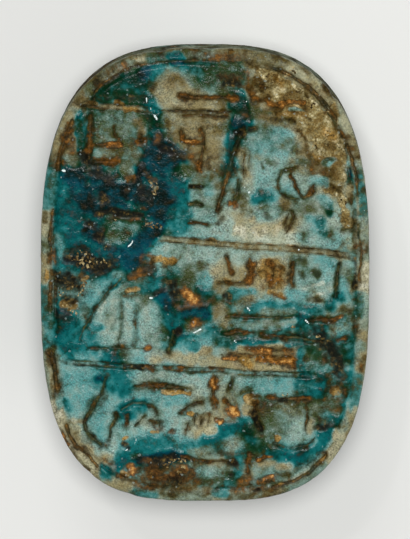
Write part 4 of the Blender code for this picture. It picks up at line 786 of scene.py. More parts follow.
def edgeInset(x, y):
    # Roughly how far inside the outline each point is, measured on the way to the middle.
    gauge = np.maximum(plinthGauge(x, y), 1e-6)
    return np.hypot(x, y) * (1 / gauge - 1)


def groove(away, half):
    # The rounded section of a cut: 1 on its line, 0 past its half width.
    return np.clip(1 - (away / half) ** 2, 0, 1) ** 1.5


underside = {
    "layoutStretch": 1.006,
    "layoutShift": 0.5,
    "layoutSquash": 0.996,
    "drift": (1.7, (3, 41), 5),  # pitch, seeds across and along, layers
    "fray": (0.5, (43, 44), 3),
    "wander": (0.15, 0.06),  # how far paint strays by slow drift and by fine fray
    "cutWander": (0.09, 0.03),  # the same for the strokes
    "lineWander": (0.05, 0.0),  # and for the scored lines
    "rimWander": ((0.1, 0.05), (0.25, 0.06)),  # and at the rim, inwards and on the way round
    "crumble": (0.0, 0.45, 0.8, 17, 4),  # level, strength, pitch, seed and layers
    "firm": ((0.3, 0.8, 7), (0.2, 0.4, 8)),  # a cut's firmness: strength, pitch, seed
    "ringRadius": 9,
    "patchy": (2.0, 6),
    "borderInset": 0.98,
    "borderHalf": 0.22,
    "borderDepth": 0.2,
    "borderWander": (0.1, 1.6, 5),
    "daubSpread": (0.88, 2.3, 1.0),  # share of the half width, reach in half widths, crumbling
    "stainSpread": (0.9, 2.0, 0.6),
    "daubCover": 0.93,
    "rimGlaze": (0.2, 0.7),  # the rim's thin glaze, and how far it holds there
    "rimPatchCover": 0.9,
    # how far each kind of mark reaches, in half widths
    "reach": {"shade": 2.0, "grit": 1.5, "stroke": 4.2, "scored": 4.0, "drop": 3.0},
    "strokeWidth": (0.9, 1.1),  # of a stroke's dark and of its depth, in half widths
    "strokeEnds": (0.72, 0.28),  # its width at the ends, and what the middle adds
    "firmRange": (0.55, 1.35),
    "grimeShadeHalo": {"stroke": 0.62, "scored": 0.45, "rim": 0.75, "border": 0.5},  # grime and painted shade beside a cut
    "haloRust": 0.42,
    "fringe": (0.47, 0.06, 0.55),  # grime where glaze thins out: thickness, spread, strength
    "ridge": (0.44, 0.14),  # thicker glaze hides the scored band
    "filled": (0.42, 0.15, 0.75),  # and this thick it fills the border line
    # finish before any paint: level, strength of its noise, pitch, seed and layers
    "bare": {
        "glaze": (0.3, 0.12, 2.0, 11, 4),
        "haze": (0.2, 0.22, 1.8, 12, 4),
        "grime": (0.36, 0.36, 1.5, 13, 5),
    },
    # mottling over the paint
    "mottle": {"grime": (0.0, 0.34, 0.9, 51, 4), "haze": (0.0, 0.16, 1.2, 52, 4)},
    # broken edges of stains: the same five values
    "broken": {"grime": (0.55, 0.8, 0.9, 14, 4), "rust": (0.45, 1.1, 1.1, 18, 4)},
    # the least finish of the rubbed rim
    "rubbed": {
        "grime": (0.4, 0.6, 1.1, 15, 4),
        "pallor": (0.28, 0.5, 1.3, 19, 4),
        "haze": (0.4, 0.6, 1.6, 16, 4),
    },
    "names": ("glaze", "haze", "grime", "rust", "soot", "sand", "gilt", "pallor", "grit"),
    "clearedByPaint": ("sand", "gilt", "rust", "soot"),
    # relief in millimetres
    "lie": (-0.06, 0.035, 2.6, 21, 2),
    "fineGrain": (0.01, 0.33, 9),  # height, pitch and seed
    "finerGrain": (0.006, 0.21, 10),
    "thickRise": 0.05,
    "thickCalm": 0.6,
    "sunk": {"sand": 0.07, "soot": 0.04, "rust": 0.015, "grit": 0.03, "rim": 0.04},
    "dropRise": 0.07,
}
everywhere = slice(None)


def noisy(points, recipe):
    level, strength, pitch, seed, layers = recipe
    return level + strength * layeredNoise(points, pitch, seed, layers)


def raiseTo(field, near, values):
    field[near] = np.maximum(field[near], values)


def brush(x, y, path, half, reach):
    # Which points lie within reach of the path, their distance to it in half widths, and the
    # share of the path that they lie beside. A single place is a dot.
    acrosses, alongs = path[::2], path[1::2]
    margin = half * reach
    near = (x > min(acrosses) - margin) & (x < max(acrosses) + margin)
    near &= (y > min(alongs) - margin) & (y < max(alongs) + margin)
    near = np.flatnonzero(near)
    away, share = distanceToPath(x[near], y[near], list(zip(acrosses, alongs)))
    return near, away / half, share


def wayRound(x, y):
    # How far round the outline each point lies: the outline is walked once in small steps,
    # clockwise from the middle of the head end, and the length is read off by direction.
    turn = np.linspace(0, 2 * np.pi, 2001)
    across = np.abs(np.sin(turn) / halfWidth) ** 3
    reach = (across + np.abs(np.cos(turn) / halfLength) ** 3) ** (-1 / 3)
    stepsX, stepsY = np.diff(reach * np.sin(turn)), np.diff(reach * np.cos(turn))
    walked = np.concatenate(([0], np.cumsum(np.hypot(stepsX, stepsY))))
    return np.interp(np.arctan2(x, y) % (2 * np.pi), turn, walked), walked[-1]


def layoutOf(x, y):
    # What the marks and paint are placed by, worked out once for each point.
    form = underside
    spot = {"x": x * form["layoutStretch"], "y": (y - form["layoutShift"]) * form["layoutSquash"]}
    points = np.column_stack((spot["x"], spot["y"]))
    spot["points"] = points
    for name in ("drift", "fray"):
        pitch, seeds, layers = form[name]
        spot[name] = [layeredNoise(points, pitch, seed, layers) for seed in seeds]
    spot["crumble"] = noisy(points, form["crumble"])
    spot["firm"] = np.ones(len(x))
    for strength, pitch, seed in form["firm"]:
        spot["firm"] += strength * latticeNoise(points, pitch, seed)
    spot["inset"] = edgeInset(x, y)
    side = np.arctan2(y, x)
    ring = np.column_stack((np.cos(side), np.sin(side))) * form["ringRadius"]
    spot["patchy"] = latticeNoise(ring, *form["patchy"])
    strength, pitch, seed = form["borderWander"]
    stray = strength * latticeNoise(ring, pitch, seed)
    spot["borderAway"] = np.abs(spot["inset"] - form["borderInset"] - stray) / form["borderHalf"]
    way, spot["wholeWay"] = wayRound(spot["x"], spot["y"])
    inwards, onwards = form["rimWander"]
    spot["wayIn"] = strayedOne(spot, spot["inset"], inwards, 0)
    spot["wayOn"] = strayedOne(spot, way, onwards, 1)
    return spot


def strayedOne(spot, values, wander, axis):
    drift, fray = wander
    return values + drift * spot["drift"][axis] + fray * spot["fray"][axis]


def strayed(spot, wander):
    return strayedOne(spot, spot["x"], wander, 0), strayedOne(spot, spot["y"], wander, 1)


def alongRim(spot, level, start, stop):
    # Distance to a line that runs round at one inset, also where it passes the starting point.
    way, turned = spot["wayOn"], spot["wayOn"] - spot["wholeWay"]
    gap = np.abs(way - np.clip(way, start, stop))
    gap = np.minimum(gap, np.abs(turned - np.clip(turned, start, stop)))
    return np.hypot(gap, spot["wayIn"] - level)


def layPaint(finish, near, paint, cover, cleared=()):
    # Pulls the finish towards the paint's levels as far as the cover says.
    for name, level in paints[paint].items():
        finish[name][near] += (level - finish[name][near]) * cover
    for name in cleared:
        if name not in paints[paint]:
            finish[name][near] *= 1 - cover


def layDaubs(finish, spot):
    # Cover is full on the path and eases to nothing at the reach, and crumbles on the way.
    x, y = strayed(spot, underside["wander"])
    reaches = underside["reach"]
    for paint, *strokes in daubs:
        stain = "glaze" not in paints[paint]
        spread, reach, crumbling = underside["stainSpread" if stain else "daubSpread"]
        cleared = () if stain else underside["clearedByPaint"]
        for half, *path in strokes:
            near, away, _ = brush(x, y, path, half * spread, reach)
            fray = 1 + spot["crumble"][near] * crumbling
            cover = underside["daubCover"] * ease((reach - away) / (reach - 0.3) * fray)
            layPaint(finish, near, paint, cover, cleared)
    for darker, warmer, half, *path in softShades:
        near, away, _ = brush(spot["x"], spot["y"], path, half, reaches["shade"])
        cover = ease(1 - away / reaches["shade"])
        for name, amount in (("grime", darker), ("haze", 0.35 * warmer), ("rust", 0.2 * warmer)):
            finish[name][near] += amount * cover
    for name, recipe in underside["mottle"].items():
        finish[name] += noisy(spot["points"], recipe)
    for half, *path in gritMarks:
        near, away, _ = brush(x, y, path, half, reaches["grit"])
        raiseTo(finish["grit"], near, ease(reaches["grit"] - away))


def layRim(finish, spot, rim):
    glaze, hold = underside["rimGlaze"]
    finish["glaze"] += (glaze - finish["glaze"]) * hold * rim
    for name, recipe in underside["rubbed"].items():
        raiseTo(finish[name], everywhere, rim * noisy(spot["points"], recipe))
    for paint, half, level, start, stop in rimPatches:
        away = alongRim(spot, level, start, stop) / half
        cover = ease((2.0 - away) / 1.3 * (1 + 0.6 * spot["crumble"]))
        cover *= underside["rimPatchCover"]
        body = "glaze" in paints[paint]
        cleared = (*underside["clearedByPaint"], "pallor") if body else ()
        layPaint(finish, everywhere, paint, cover, cleared)


def cutMarks(finish, spot, grimeShadeHalo):
    # How dark and how deep the cuts are, their darkness being dirt and painted shade. The halo of
    # grime and painted shade beside them is raised in place.
    form, firm = underside, spot["firm"]
    cut, depth = np.zeros(len(firm)), np.zeros(len(firm))
    darkWidth, deepWidth = form["strokeWidth"]
    thinnest, swell = form["strokeEnds"]
    least, most = form["firmRange"]
    x, y = strayed(spot, form["cutWander"])
    for half, deep, *path in strokeMarks:  # a stroke is thinner at both ends
        near, away, share = brush(x, y, path, half, form["reach"]["stroke"])
        ends = thinnest + swell * ease(share * 6) * ease((1 - share) * 6)
        width = darkWidth * ends * np.clip(firm[near], least, most)
        dark = np.clip(0.55 + 2.0 * deep, 0, 1)
        raiseTo(cut, near, np.clip(1 - away / width / 2.2, 0, 1) * dark)
        bite = groove(away, deepWidth * ends * np.clip(firm[near], 0.6, most))
        raiseTo(depth, near, deep * bite)
        raiseTo(grimeShadeHalo, near, form["grimeShadeHalo"]["stroke"] * ease((3.8 - away) / 2.6))
    x, y = strayed(spot, form["lineWander"])
    bared, fade = form["ridge"]
    for paint, half, deep, *path in scoredLines:  # dark at one half width on each side
        near, away, share = brush(x, y, path, half, form["reach"]["scored"])
        ends = ease(share * 14) * ease((1 - share) * 14)
        thin = 1 - ease((finish["glaze"][near] - bared) / fade)
        layPaint(finish, near, paint, 0.9 * ends * ease((1.5 - away) / 0.4) * thin)
        dark = np.clip(0.4 + 0.45 * firm[near], 0.6, 0.92)
        raiseTo(cut, near, np.clip(1.04 - np.abs(away - 1) * half / 0.17, 0, 1) * ends * dark)
        raiseTo(depth, near, deep * ends * ease((1.6 - away) / 0.7))
        raiseTo(grimeShadeHalo, near, form["grimeShadeHalo"]["scored"] * ends * ease((3.0 - away) / 1.6))
    for half, deep, level, start, stop in rimCuts:
        away = alongRim(spot, level + 0.08 * spot["patchy"], start, stop)
        away = away / (half * np.clip(firm, least, most))
        raiseTo(cut, everywhere, np.clip(1.1 - away / 2.8, 0, 1))
        raiseTo(depth, everywhere, deep * groove(away, 1.1))
        rust = 2.6 * deep * ease(1.8 - away) * ease(0.5 + 1.4 * spot["patchy"])
        raiseTo(finish["rust"], everywhere, rust)
        raiseTo(grimeShadeHalo, everywhere, form["grimeShadeHalo"]["rim"] * ease((4.0 - away) / 2.6))
    return cut, depth


def undersideFields(x, y):
    # The finish of the underside at each point, its relief in millimetres, and how far each
    # point belongs to the rim.
    form = underside
    spot = layoutOf(x, y)
    points, patchy, borderAway = spot["points"], spot["patchy"], spot["borderAway"]
    finish = {name: np.zeros(len(x)) for name in form["names"]}
    for name, recipe in form["bare"].items():
        finish[name] += noisy(points, recipe)
    finish["haze"] += 0.16 * ease((spot["x"] + 2) / 5)
    layDaubs(finish, spot)

    # thick glaze has run into the border line and filled it
    full, fade, share = form["filled"]
    bare = 1 - share * ease((finish["glaze"] - full) / fade)
    border = groove(borderAway, 1.0) * np.clip(0.72 + 0.4 * patchy, 0.2, 1)
    grimeShadeHalo = form["grimeShadeHalo"]["border"] * ease(1.3 - borderAway / 1.6)
    grimeShadeHalo = grimeShadeHalo * np.clip(0.5 + 0.7 * patchy, 0, 1) * bare
    rim = ease((form["borderInset"] - spot["inset"]) / 0.25)
    layRim(finish, spot, rim)
    cut, depth = cutMarks(finish, spot, grimeShadeHalo)

    # the glassy drops are raised, and each is marked for a painted highlight, a white glint in the
    # colour
    drops, paintedGlint = np.zeros(len(x)), np.zeros(len(x))
    for half, *path in glassDropsAndGlints:
        reach = form["reach"]["drop"]
        near, away, _ = brush(spot["x"], spot["y"], path, half, reach)
        raiseTo(drops, near, np.sqrt(np.clip(1 - away**2, 0, 1)))
        raiseTo(paintedGlint, near, 1 - away / reach)

    # grime and painted shade gather beside cuts, and grime where thick glaze thins out
    thickness, within, strong = form["fringe"]
    fringe = strong * np.exp(-(((finish["glaze"] - thickness) / within) ** 2))
    grimy, rusty = (ease(noisy(points, form["broken"][name])) for name in ("grime", "rust"))
    grimeShadeHalo = grimeShadeHalo * (1 - 0.7 * finish["sand"])
    raiseTo(finish["rust"], everywhere, form["haloRust"] * grimeShadeHalo * rusty)
    raiseTo(finish["grime"], everywhere, np.maximum(grimeShadeHalo, fringe) * grimy)
    dark = np.clip(0.5 + 0.6 * patchy, 0.2, 0.95)
    finish["cut"] = np.maximum(cut, np.clip(1 - borderAway / 2.5, 0, 1) * dark * bare)

    # thick glaze lies higher and smoother; sand, soot, rust and grit lie lower and rougher
    fineHigh, *fineNoise = form["fineGrain"]
    finerHigh, *finerNoise = form["finerGrain"]
    fine, finer = latticeNoise(points, *fineNoise), latticeNoise(points, *finerNoise)
    thick = ease((finish["glaze"] - 0.35) / 0.4) * (1 - finish["sand"])
    sunk = form["sunk"]
    relief = noisy(points, form["lie"]) + fineHigh * fine + finerHigh * finer
    relief = relief * (1 - form["thickCalm"] * thick) + form["thickRise"] * thick
    relief -= finish["sand"] * (sunk["sand"] + 0.05 * fine + 0.04 * finer)
    relief -= finish["soot"] * (sunk["soot"] + 0.05 * np.abs(fine) + 0.03 * finer)
    relief -= finish["rust"] * (sunk["rust"] + 0.02 * np.abs(finer))
    relief -= finish["grit"] * (sunk["grit"] - 0.08 * np.abs(finer))
    relief -= depth + form["borderDepth"] * border
    relief -= rim * (sunk["rim"] + 0.05 * np.abs(latticeNoise(points, 0.8, 31)))
    relief += form["dropRise"] * drops
    finish["relief"] = np.minimum(relief, 0)
    finish["rim"] = rim
    finish["shine"] = paintedGlint
    return finish


def dome(gauge, power):
    # The quarter section of a dome: 1 in the middle, 0 where the gauge is 1.
    return (1 - np.clip(gauge, 0, 1) ** power) ** (1 / power)


def blendUp(one, other, fillet):
    # The greater of two heights with a small fillet where they meet.
    return (one + other + np.sqrt((one - other) ** 2 + fillet**2)) / 2


def headSpread(x):
    # Places across the head as a share of its half width.
    return x / (blockForm["headHalfWidth"] * halfWidth)


def backHeight(x, y):
    # Height of the beetle above the underside: the greater of a torso dome that stands on its
    # margin and a wedge-shaped head, with a fillet between, and flat at the worn top.
    form = blockForm
    plinth, fillet, headPower = form["plinth"], form["footBlend"], form["headPower"]
    power = np.where(y > 0, form["frontPower"], form["tailEndPower"])
    reach = np.where(y > 0, form["torsoFront"], form["bandScale"]) * halfLength
    gauge = superGauge(x / (form["bandScale"] * halfWidth), y / reach, power)
    margin = form["margin"] - form["marginDip"] * np.clip(-y / halfLength, 0, 1) ** 2
    torso = margin + (form["crest"] - margin) * dome(gauge, form["domePower"])
    torso -= form["marginFall"] * np.clip(gauge - 1, 0, None)
    along = (y / halfLength - form["headRoot"]) / (form["headTip"] - form["headRoot"])
    slope = form["headHigh"] + (form["headLow"] - form["headHigh"]) * np.clip(along, 0, 1)
    headDome = dome(superGauge(headSpread(x), along, headPower), headPower)
    raised = blendUp(torso, plinth + (slope - plinth) * headDome, fillet)
    raised = blendUp(raised, plinth - fillet / 4, fillet)
    return np.clip(raised, plinth, height)


backMarks = {
    "grooveHalf": 0.26,
    "grooveDepth": 0.2,
    "waistReach": 0.965,  # how far out the line across the waist runs
    "splitFoot": 0.93,  # where the line between the wing cases ends
    "cheekLine": 0.76,
    "cheekBow": 0.05,
    "cheekReach": 0.92,
    "notches": (-0.6, -0.2, 0.2, 0.6),
    "notchHalf": 0.34,
    "notchDepth": 1.4,
    # across, along and high, as shares of the half width, half length and height
    "frontLegs": ((0.8, 0.38, 0.4), (0.78, 0.56, 0.31), (0.64, 0.76, 0.29), (0.36, 0.9, 0.28)),
    # along and high, on the band
    "sideLegs": (
        ((0.3, 0.45), (0.12, 0.4), (-0.1, 0.31)),
        ((-0.16, 0.46), (-0.4, 0.4), (-0.64, 0.33), (-0.84, 0.29)),
    ),
    "legSteps": 6,
}


def smoothPath(knots):
    # Points of a Catmull-Rom curve through the knots.
    knots = np.array(knots, float)
    ends = np.vstack((2 * knots[0] - knots[1], knots, 2 * knots[-1] - knots[-2]))
    t = np.linspace(0, 1, backMarks["legSteps"], endpoint=False)[:, None]
    pieces = []
    for before, start, stop, after in zip(ends, ends[1:], ends[2:], ends[3:]):
        pieces.append(
            start
            + (stop - before) * t / 2
            + (2 * before - 5 * start + 4 * stop - after) * t * t / 2
            + (3 * start - before - 3 * stop + after) * t**3 / 2
        )
    return np.vstack((*pieces, knots[-1:]))


def backSurface(x, y):
    # The beetle's height with its front legs laid on it and its lines cut in, and the lines.
    form, marks = blockForm, backMarks
    half, headPower = marks["grooveHalf"], form["headPower"]
    raised = backHeight(x, y)
    legPath = smoothPath(marks["frontLegs"])
    legXY = [(px * halfWidth, py * halfLength) for px, py, _ in legPath]
    away, share = distanceToPath(np.abs(x), y, legXY)
    axis = np.interp(share, np.linspace(0, 1, len(legPath)), legPath[:, 2]) * height
    radius = form["legRadius"] * (0.62 + 0.38 * np.sin(np.pi * np.clip(share, 0.02, 0.98)))
    legTop = axis + np.sqrt(np.clip(radius**2 - away**2, 0, None))
    raised = np.where(away < radius, np.maximum(raised, legTop), raised)
    # a bowed line across the waist, one between the wing cases, and one behind the head's shield
    share = x / (form["bandScale"] * halfWidth)
    waist = form["waist"] + form["waistBow"] * (1 - share**2)
    lines = groove(np.abs(y - waist), half) * (np.abs(share) < marks["waistReach"])
    splitEnd = ease((y / halfLength + marks["splitFoot"]) * 25)
    split = groove(np.abs(x), half) * (y < waist) * splitEnd
    headShare = headSpread(x)
    cheek = (marks["cheekLine"] + marks["cheekBow"] * (1 - headShare**2)) * halfLength
    cheeks = groove(np.abs(y - cheek), half) * (np.abs(headShare) < marks["cheekReach"])
    lines = np.maximum(np.maximum(lines, split), cheeks)
    for share in marks["notches"]:
        reach = (1 - abs(share) ** headPower) ** (1 / headPower)
        nx = share * form["headHalfWidth"] * halfWidth
        ny = (form["headRoot"] + (form["headTip"] - form["headRoot"]) * reach) * halfLength
        notch = groove(np.hypot(x - nx, y - ny), marks["notchHalf"])
        raised = raised - notch * np.clip(raised - form["plinth"], 0, marks["notchDepth"])
    return raised - marks["grooveDepth"] * lines, lines


def sideLegs():
    # Middle and hind legs of the right side as curves that follow the band.
    paths = []
    for knots in backMarks["sideLegs"]:
        points = smoothPath(knots)
        y = points[:, 0] * halfLength
        power = np.where(y > 0, blockForm["headEndPower"], blockForm["tailEndPower"])
        x = halfWidth * (1 - np.abs(points[:, 0]) ** power) ** (1 / power)
        scale = blockForm["legScale"]
        paths.append(np.column_stack((x * scale, y * scale, points[:, 1] * height)))
    return paths


def legSwell(x, y, level):
    # How far a leg stands out of the band at each point, from the distance to the leg's curve.
    spots = np.column_stack((np.abs(x), y, level))
    out = np.zeros(len(x))
    for path in sideLegs():
        near = np.full(len(x), 1e9)
        share = np.zeros(len(x))
        for index, (start, stop) in enumerate(zip(path, path[1:])):
            run = stop - start
            along = np.clip((spots - start) @ run / (run @ run), 0, 1)
            away = np.linalg.norm(spots - start - along[:, None] * run, axis=1)
            share = np.where(away < near, (index + along) / (len(path) - 1), share)
            near = np.minimum(near, away)
        fullness = 0.55 + 0.45 * np.minimum(1, 2 * np.sin(np.pi * share))
        radius = blockForm["legRadius"] * fullness
        out = np.maximum(out, np.sqrt(np.clip(radius**2 - near**2, 0, None)))
    return out


edges = {
    # chips along the plinth's edge: middle, half width, how deep they bite
    "chips": (
        (-3.2, 15.9, 0.9, 0.1),
        (0.4, 16.0, 1.2, 0.05),
        (7.6, 13.8, 0.6, 0.1),
        (8.9, 12.7, 0.5, 0.14),
        (-8.2, -14.0, 0.6, 0.05),
        (-5.4, -15.4, 0.6, 0.05),
        (-10.9, 8.6, 0.8, 0.08),
    ),
    "wear": (0.035, 1.3, 51, 3),  # strength, pitch, seed and layers
    "backWear": (0.03, 1.8, 61, 3),
    # rings down the plinth's side: share of the outline, depth
    "plinthRings": (
        (0.9885, 0.11), (0.996, 0.22), (0.9995, 0.4), (1.0, 0.75), (1.0, 1.3), (1.0, 1.9),
        (1.0, 2.5), (1.0, blockForm["plinth"] - 0.3), (0.994, blockForm["plinth"] - 0.06),
        (blockForm["ledgeScale"], blockForm["plinth"]),
    ),
    # rings up the band, as shares of the way to the beetle's margin
    "bandRings": (0.02, 0.1, 0.2, 0.3, 0.4, 0.5, 0.6, 0.7, 0.8, 0.9),
    "bandFlare": 0.026,
    "legLimit": 0.985,
    "faceRound": 0.05,
}


def squareGrid(across, along):
    # Parameters a and b from -1 to 1 on a grid, its quads, and the indices round its edge.
    a, b = np.meshgrid(np.linspace(-1, 1, across + 1), np.linspace(-1, 1, along + 1))
    index = np.arange(a.size).reshape(a.shape)
    quads = np.stack((index[:-1, :-1], index[:-1, 1:], index[1:, 1:], index[1:, :-1]), -1)
    edge = np.concatenate((index[0, :-1], index[:-1, -1], index[-1, :0:-1], index[:0:-1, 0]))
    return a.ravel(), b.ravel(), quads.reshape(-1, 4), edge


def outlinePoint(a, b):
    x, y = a * halfWidth, b * halfLength
    gauge = np.maximum(plinthGauge(x, y), 1e-9)
    return x / gauge, y / gauge


def wearOf(spots, recipe):
    strength, pitch, seed, layers = recipe
    return strength * np.abs(layeredNoise(spots, pitch, seed, layers))


def plinthRings(edgeX, edgeY, faceEdge):
    # The outline scaled by each ring's share, drawn in by wear and chips, and sunk with the face.
    rings = []
    for scale, level in edges["plinthRings"]:
        bite = np.zeros(len(edgeX))
        for chipX, chipY, half, deep in edges["chips"]:
            away = np.hypot(edgeX - chipX, edgeY - chipY)
            bite = np.maximum(bite, deep * groove(away, half) * ease(1.2 - level / 1.6))
        spots = np.column_stack((edgeX, edgeY, np.full(len(edgeX), level)))
        wear = wearOf(spots, edges["wear"]) + bite
        inward = 1 - wear / np.hypot(edgeX, edgeY)
        sink = faceEdge * np.clip(1 - level / 0.5, 0, 1)
        rings.append(
            np.column_stack((edgeX * scale * inward, edgeY * scale * inward, level + sink))
        )
    return rings


def bandRings(bandX, bandY):
    # The outline scaled to the band, tucked in under the beetle, and swollen where a leg lies.
    form = blockForm
    rimHeight = backHeight(bandX * form["bandScale"], bandY * form["bandScale"])
    standing = np.clip((rimHeight - form["plinth"]) / (form["margin"] - form["plinth"]), 0, 1)
    rings = []
    for share in edges["bandRings"]:
        outward = edges["bandFlare"] * (1 - share)
        tucked = form["undercut"] * ease(share / 0.04 + 0.3) * ease((1 - share) / 0.26)
        scale = form["bandScale"] + outward * (1 - standing) - tucked * standing
        level = form["plinth"] + share * (rimHeight - form["plinth"])
        px, py = bandX * scale, bandY * scale
        atLeg = form["legScale"] / scale
        swell = legSwell(px * atLeg, py * atLeg, level) * standing
        grown = np.maximum(1.0, (atLeg + swell / np.hypot(px, py)) * (swell > 0))
        grown = np.minimum(grown, edges["legLimit"] / scale)
        rings.append(np.column_stack((px * grown, py * grown, level)))
    return rings


def backGrid():
    # A second grid of (a, b): points run out from the middle by the sine of a quarter turn times
    # the greater of |a| and |b|, and rise to the beetle's height.
    a, b, quads, edge = squareGrid(blockForm["cellsAcross"] // 2, blockForm["cellsAlong"] // 2)
    ring = np.maximum(np.maximum(np.abs(a), np.abs(b)), 1e-9)
    x, y = outlinePoint(a / ring, b / ring)
    spread = np.sin(ring * np.pi / 2) * blockForm["bandScale"]
    x, y = x * spread, y * spread
    level, _ = backSurface(x, y)
    worn = wearOf(np.column_stack((x, y, level)), edges["backWear"])
    worn = worn * ease((1 - ring) / 0.05) * (level < height - 0.02)
    return np.column_stack((x, y, np.minimum(level, height) - worn)), quads, edge


def ringQuads(upper, lower):
    return np.column_stack((upper, lower, np.roll(lower, -1), np.roll(upper, -1)))


def scarabMesh():
    # One closed surface. The underside is a grid of (a, b) drawn into the outline: each point is
    # (a, b) times the half sizes, divided by 1 + (g - 1) r squared, where r is the greater of
    # |a| and |b| and g the outline's gauge there. Rings go down the plinth's side, the ledge and
    # the band, and a second grid, at half the pitch, carries the beetle's back.
    a, b, topQuads, topEdge = squareGrid(blockForm["cellsAcross"], blockForm["cellsAlong"])
    ring = np.maximum(np.maximum(np.abs(a), np.abs(b)), 1e-9)
    gauge = plinthGauge(a / ring * halfWidth, b / ring * halfLength)
    spread = blockForm["faceScale"] / (1 + (gauge - 1) * ring**2)
    x, y = a * halfWidth * spread, b * halfLength * spread
    relief = undersideFields(x, y)["relief"]
    top = np.column_stack((x, y, -relief + edges["faceRound"] * ease((ring - 0.985) / 0.015)))
    edgeX, edgeY = outlinePoint(a[topEdge] / ring[topEdge], b[topEdge] / ring[topEdge])
    rings = plinthRings(edgeX, edgeY, -relief[topEdge])
    bands = bandRings(edgeX[::2], edgeY[::2])  # every second point of the edge
    back, backQuads, backEdge = backGrid()
    points = np.vstack((top, *rings, *bands, back))
    points[:, 2] = height - points[:, 2]

    # indices of every ring, from the underside's edge to the back's edge
    fine = [topEdge]
    count = len(top)
    for _ in rings:
        fine.append(np.arange(count, count + len(topEdge)))
        count += len(topEdge)
    coarse = []
    for band in bands:
        coarse.append(np.arange(count, count + len(band)))
        count += len(band)
    coarse.append(backEdge + count)
    faces = [topQuads, *map(ringQuads, fine, fine[1:]), *map(ringQuads, coarse, coarse[1:])]
    faces = np.vstack((*faces, backQuads[:, ::-1] + count)).tolist()
    # three triangles for each two edges of the last fine ring
    last, first = fine[-1], coarse[0]
    following = np.roll(first, -1)
    even, odd, after = last[::2], last[1::2], np.roll(last, -2)[::2]
    for corners in ((even, first, odd), (odd, first, following), (odd, following, after)):
        faces += np.column_stack(corners).tolist()
    mesh = bpy.data.meshes.new("glazedScarab")
    mesh.from_pydata(points * mm, [], faces)
    mesh.update()
    return mesh


def added(name, data):
    thing = bpy.data.objects.new(name, data)
    bpy.context.scene.collection.objects.link(thing)
    return thing


def pierced(mesh):
    # Bores the cord hole from end to end and keeps the result.
    body = added("glazedScarab", mesh)
    radius = blockForm["piercingRadius"] * mm
    lift = (height - blockForm["piercingHeight"]) * mm
    bore = bmesh.new()
    bmesh.ops.create_cone(
        bore,
        cap_ends=True,
        segments=blockForm["piercingSides"],
        radius1=radius,
        radius2=radius,
        depth=halfLength * 2.4 * mm,
    )
    bmesh.ops.rotate(bore, verts=bore.verts, matrix=Matrix.Rotation(math.pi / 2, 3, "X"))
    bmesh.ops.translate(bore, verts=bore.verts, vec=(0, 0, lift))
    boreMesh = bpy.data.meshes.new("bore")
    bore.to_mesh(boreMesh)
    bore.free()
    cutter = added("bore", boreMesh)
    cut = body.modifiers.new("piercing", "BOOLEAN")
    cut.operation = "DIFFERENCE"
    cut.object = cutter
    cut.solver = "MANIFOLD"
    graph = bpy.context.evaluated_depsgraph_get()
    finished = bpy.data.meshes.new_from_object(body.evaluated_get(graph))
    body.modifiers.clear()
    body.data = finished
    bpy.data.objects.remove(cutter)
    finished.shade_smooth()
    return body


def linear(red, green, blue):
    # From the 0 to 255 scale to the linear values that shaders take.
    shown = np.array((red, green, blue)) / 255
    return (*np.where(shown <= 0.04045, shown / 12.92, ((shown + 0.055) / 1.055) ** 2.4), 1.0)


wornSides = {
    # noise over the sides and the back: pitch, seed and layers
    "broad": (5.0, 71, 4),
    "patchy": (2.2, 81, 4),
    "tight": (0.9, 91, 3),
    "rimTone": {"glaze": 0.24, "haze": 0.55},
    "rimShare": 0.25,
    "edgeLevel": 0.75,  # how far the underside's finish reaches down
}


